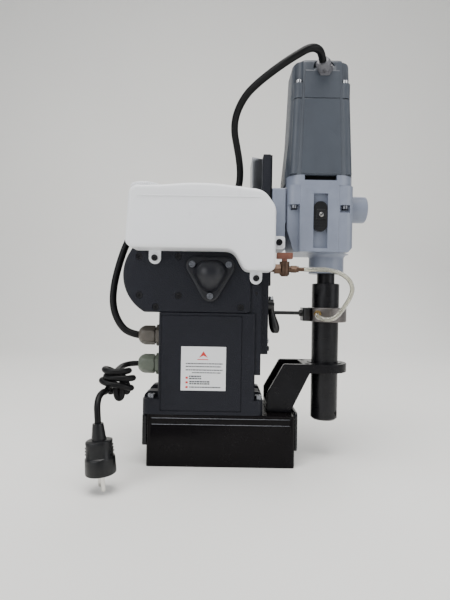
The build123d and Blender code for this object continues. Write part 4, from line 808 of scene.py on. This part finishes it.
for side in (-1, 1):
    tag = "near" if side < 0 else "far"
    slab(f"motor_panel_{tag}",
         [(104, side * 36, MOTOR_FOOT_Z), (159, side * 36, MOTOR_FOOT_Z),
          (156, side * 36, MOTOR_TOP_Z), (107, side * 36, MOTOR_TOP_Z)],
         [(104, side * 42.8, MOTOR_FOOT_Z), (159, side * 42.8, MOTOR_FOOT_Z),
          (156, side * 40.6, MOTOR_TOP_Z), (107, side * 40.6, MOTOR_TOP_Z)],
         "motor", "carriage")
    slab(f"cap_panel_{tag}",
         [(107, side * 34, CAP_FOOT_Z), (156, side * 34, CAP_FOOT_Z), (155, side * 34, 548),
          (108, side * 34, 548)],
         [(107, side * 40.6, CAP_FOOT_Z), (156, side * 40.6, CAP_FOOT_Z), (155, side * 39.6, 541),
          (108, side * 39.6, 541)],
         "motor", "carriage")
    for left in (-1, 1):
        where = "left" if left < 0 else "right"
        bm = bmesh.new()
        foot = Vector((MOTOR_X + left * BOSS_FOOT[0], side * BOSS_FOOT[1], MOTOR_FOOT_Z))
        top = Vector((MOTOR_X + left * BOSS_TOP[0], side * BOSS_TOP[1], MOTOR_TOP_Z))
        add_lathe(bm, [(BOSS_RADIUS, 0), (BOSS_RADIUS, (top - foot).length)], foot, top - foot, 40)
        boss = finish_piece(f"motor_boss_{tag}_{where}", bm, ["motor"], "carriage")
        soften(boss, BOSS_ROUNDING * MM, 2, 60)
        bm = bmesh.new()
        foot = Vector((MOTOR_X + left * BOSS_TOP[0], side * BOSS_TOP[1], CAP_FOOT_Z))
        add_lathe(bm, [(BOSS_RADIUS, 0), (BOSS_RADIUS, CAP_BOSS_HEIGHT)], foot, UPWARD, 40)
        boss = finish_piece(f"cap_boss_{tag}_{where}", bm, ["motor"], "carriage")
        soften(boss, BOSS_ROUNDING * MM, 2, 60)
    # A black sheet at the back of the vent slot: painted shade inside the slot.
    bm = bmesh.new()
    add_prism(bm, rounded_outline(109.6, 152.4, 390.8, 398.6, 1.0, 3), "XZ", side * 34.0, side * 36.0)
    finish_piece(f"vent_painted_shade_{tag}", bm, ["painted_shade"], "carriage")

# Raised middle of the end cap.
bm = bmesh.new()
add_prism(bm, rounded_outline(109, 155, -30, 30, 9), "XY", 552, 559.4)
crown = finish_piece("cap_crown", bm, ["motor"], "carriage")
soften(crown, 0.0022, 4)

# ---------------------------------------------------------------- gearbox: neck flare, selector block and screw
NECK_RADIUS = 24.75
FLARE_RADIUS = 7
FLARE_FOOT_Z = 286.2
bm = bmesh.new()
flare = [(24.6, 281.0)]
for step in range(9):
    angle = math.radians(90 * step / 8)
    flare.append((
        NECK_RADIUS + FLARE_RADIUS * (1 - math.cos(angle)), FLARE_FOOT_Z + FLARE_RADIUS * math.sin(angle)))
flare += [(24.0, 293.4)]
add_lathe(bm, flare, (SPINDLE_X, 0, 0), UPWARD, 64)
finish_piece("neck_flare", bm, ["grey"], "carriage", 60)
bm = bmesh.new()
add_prism(bm, rounded_outline(125.4, 138.6, 337.6, 350.4, 1.6), "XZ", -43.6, -42.0)
selector_block = finish_piece("selector_block", bm, ["knob"], "speed_selector")
soften(selector_block, 0.0005, 2)
bm = bmesh.new()
add_lathe(bm, [(3.0, 0), (3.0, 1.2), (2.6, 1.6), (0, 1.7)],
          (MOTOR_X, -43.4, SELECTOR_SCREW_Z), TOWARDS_NEAR, 28)
finish_piece("selector_screw", bm, ["pin"], "speed_selector")
bm = bmesh.new()
# The screw's slot is a thin black bar on its head: painted shade.
add_prism(bm, rounded_outline(-2.4, 2.4, -0.45, 0.45, 0.2, 2), "XZ", -45.25, -45.0)
slot_line = finish_piece("selector_screw_slot", bm, ["painted_shade"], "speed_selector")
to_screw = Matrix.Translation((MOTOR_X * MM, 0, SELECTOR_SCREW_Z * MM))
slot_line.data.transform(to_screw @ Matrix.Rotation(math.radians(-35), 4, "Y"))

# ---------------------------------------------------------------- magnet: bright lines, worn paint and painted highlight
for side in (-1, 1):
    tag = "near" if side < 0 else "far"
    bm = bmesh.new()
    # Thin steel lines on two edges: partly worn paint, partly painted highlight.
    for z in (65.2, 56.8):
        add_lathe(bm, [(0.1, -93.6), (0.4, -92), (0.4, 92), (0.1, 93.6)], (0, side * 49.9, z), FORWARD, 10)
    finish_piece(f"worn_and_highlight_line_{tag}", bm, ["ground"], "base", 60)

# ---------------------------------------------------------------- tank: moulded bead, cap ribs
bm = bmesh.new()
add_prism(bm, rounded_outline(-109, 46, 353.2, 355.0, 0.9), "XZ", -95.7, -94.0)
bead = finish_piece("tank_bead", bm, ["tank"], "base")
soften(bead, 0.0006, 3)
CAP_RIBS = 40
CAP_RIB_DEPTH = 0.35


def ribbed(radius, angle, index):
    """A radius rule for add_lathe that ribs the two widest rings of the filler cap."""
    if 1 <= index <= 2:
        return radius - CAP_RIB_DEPTH + CAP_RIB_DEPTH * math.cos(angle * CAP_RIBS)
    return radius


bm = bmesh.new()
add_lathe(bm, [(18.2, 368.6), (19.0, 369.2), (19.0, 371.4), (18.0, 372.3), (16.0, 372.4), (15.4, 372.2),
               (0, 372.2)], (-102, -73, 0), UPWARD, 160, ribbed)
cap = finish_piece("tank_cap_ribbed", bm, ["cap"], "filler_cap", 30)
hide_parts("tank_cap")

# ---------------------------------------------------------------- label: generic bars and a plain red mark
LABEL_TOP = 162.0
bm = bmesh.new()
rows = [  # distance under the label's top, left and right end, half height of each row of bars, in mm
    (22.9, -48.1, 1.6, 0.75), (26.8, -48.1, -0.7, 0.7), (31.4, -48.1, 1.6, 0.75), (35.0, -39.6, -0.7, 0.7),
    (40.0, -43.5, -27.0, 1.0), (43.0, -43.5, -27.0, 0.9), (47.1, -43.0, -16.0, 1.0), (49.9, -43.0, -16.0, 0.9),
    (54.5, -43.0, -0.7, 0.8),
]
for row, (down, left_end, right_end, half) in enumerate(rows):
    x, z = left_end, LABEL_TOP - down
    count = 0
    while x < right_end:
        step = min(x + 2.0 + 1.8 * ((count * 7 + row * 3) % 4) / 3, right_end)
        add_prism(bm, [(x, z - half), (step, z - half), (step, z + half), (x, z + half)], "XZ",
                  *LABEL_FACE_Y)
        x = step + 0.6
        count += 1
finish_piece("label_bars", bm, ["ink"], "base")
bm = bmesh.new()
add_prism(bm, [(-30.5, 147), (-24.5, 156), (-18.5, 147), (-24.5, 150)], "XZ", *LABEL_FACE_Y)
add_prism(bm, [(-32.8, 144.2), (-17.9, 144.2), (-17.9, 145.3), (-32.8, 145.3)], "XZ", *LABEL_FACE_Y)
for down in (42.0, 48.2, 54.5):
    add_prism(bm, rounded_outline(-48.2, -45.0, LABEL_TOP - down - 1.4, LABEL_TOP - down + 1.4, 0.5, 2), "XZ",
              *LABEL_FACE_Y)
finish_piece("label_mark", bm, ["ink_red"], "base")

# ---------------------------------------------------------------- small screws of the carriage and bracket
bm = bmesh.new()
add_lathe(bm, [(3.4, 0), (3.4, 1.6), (2.8, 2.2), (0, 2.3)], (63, -22, 169), FORWARD, 24)
finish_piece("stop_screw_bright", bm, ["zinc"], "carriage")
bm = bmesh.new()
add_lathe(bm, [(3.6, 0), (3.6, 2.4), (3.0, 3.0), (0, 3.1)], (63, -22, 158), FORWARD, 24)
add_lathe(bm, [(4.2, 0), (4.2, 3.2), (3.6, 3.8), (1.9, 3.8), (1.9, 2.0), (0, 2.0)],
          (63, -20, 250), FORWARD, 24)
finish_piece("stop_screw_black", bm, ["screw"], "carriage")
bm = bmesh.new()
for y in (-22, 22):
    add_lathe(bm, [(3.6, -1), (3.6, 0.2), (3.3, 0.5), (1.6, 0.5), (1.6, -0.8), (0, -0.8)],
              (120, y, 137.5), UPWARD, 24)
finish_piece("bracket_screws", bm, ["screw"], "base")
bm = bmesh.new()
add_lathe(bm, [(3.4, 0), (3.4, 5.0), (2.8, 5.8), (0, 6.0)], (68.4, -14, 225.6), UPWARD, 28)
finish_piece("clamp_cap", bm, ["zinc"], body_of_node["clamp_lever"])

# ---------------------------------------------------------------- floor, backdrop, light
FLOOR_FRONT_Y = -4.0
BEND_START_Y = 1.2
BEND_RADIUS = 0.8
WALL_TOP_Z = 4.5
BACKDROP_HALF_WIDTH = 5.0
bm = bmesh.new()
profile = [(FLOOR_FRONT_Y, 0.0), (BEND_START_Y, 0.0)]
for step in range(1, 13):
    angle = math.radians(90 * step / 12)
    profile.append((
        BEND_START_Y + BEND_RADIUS * math.sin(angle), BEND_RADIUS - BEND_RADIUS * math.cos(angle)))
profile.append((BEND_START_Y + BEND_RADIUS, WALL_TOP_Z))
columns = []
for x in (-BACKDROP_HALF_WIDTH, BACKDROP_HALF_WIDTH):
    columns.append([bm.verts.new((x, y, z)) for y, z in profile])
for i in range(len(profile) - 1):
    bm.faces.new((columns[0][i], columns[1][i], columns[1][i + 1], columns[0][i + 1]))
for face in bm.faces:
    face.smooth = True
backdrop_mesh = bpy.data.meshes.new("backdrop")
bm.to_mesh(backdrop_mesh)
bm.free()
backdrop_mesh.materials.append(M["floor"])
backdrop = bpy.data.objects.new("backdrop", backdrop_mesh)
scene.collection.objects.link(backdrop)


def area_light(name, place, target, size, power, tint=(1, 1, 1)):
    """A soft rectangular light that faces a target."""
    data = bpy.data.lights.new(name, "AREA")
    data.shape = "RECTANGLE"
    data.size, data.size_y = size
    data.energy = power
    data.color = tint
    lamp = bpy.data.objects.new(name, data)
    lamp.location = place
    lamp.rotation_euler = (Vector(target) - Vector(place)).to_track_quat("-Z", "Y").to_euler()
    scene.collection.objects.link(lamp)


area_light("top", (-0.2, -0.5, 2.1), (0.0, 0.0, 0.25), (1.6, 1.2), 47, (1.0, 0.985, 0.96))
area_light("front_left", (-1.5, -1.7, 1.1), (0, 0, 0.25), (1.2, 1.4), 21, (0.97, 0.98, 1.0))
area_light("front_right", (1.7, -1.2, 0.9), (0.05, 0, 0.25), (1.0, 1.3), 12)
area_light("back", (0.6, 1.4, 1.4), (0, 0, 0.3), (1.2, 0.8), 10)
world = bpy.data.worlds.new("studio")
world.use_nodes = True
world.node_tree.nodes["Background"].inputs[0].default_value = (0.80, 0.82, 0.86, 1.0)
world.node_tree.nodes["Background"].inputs[1].default_value = 0.45
scene.world = world
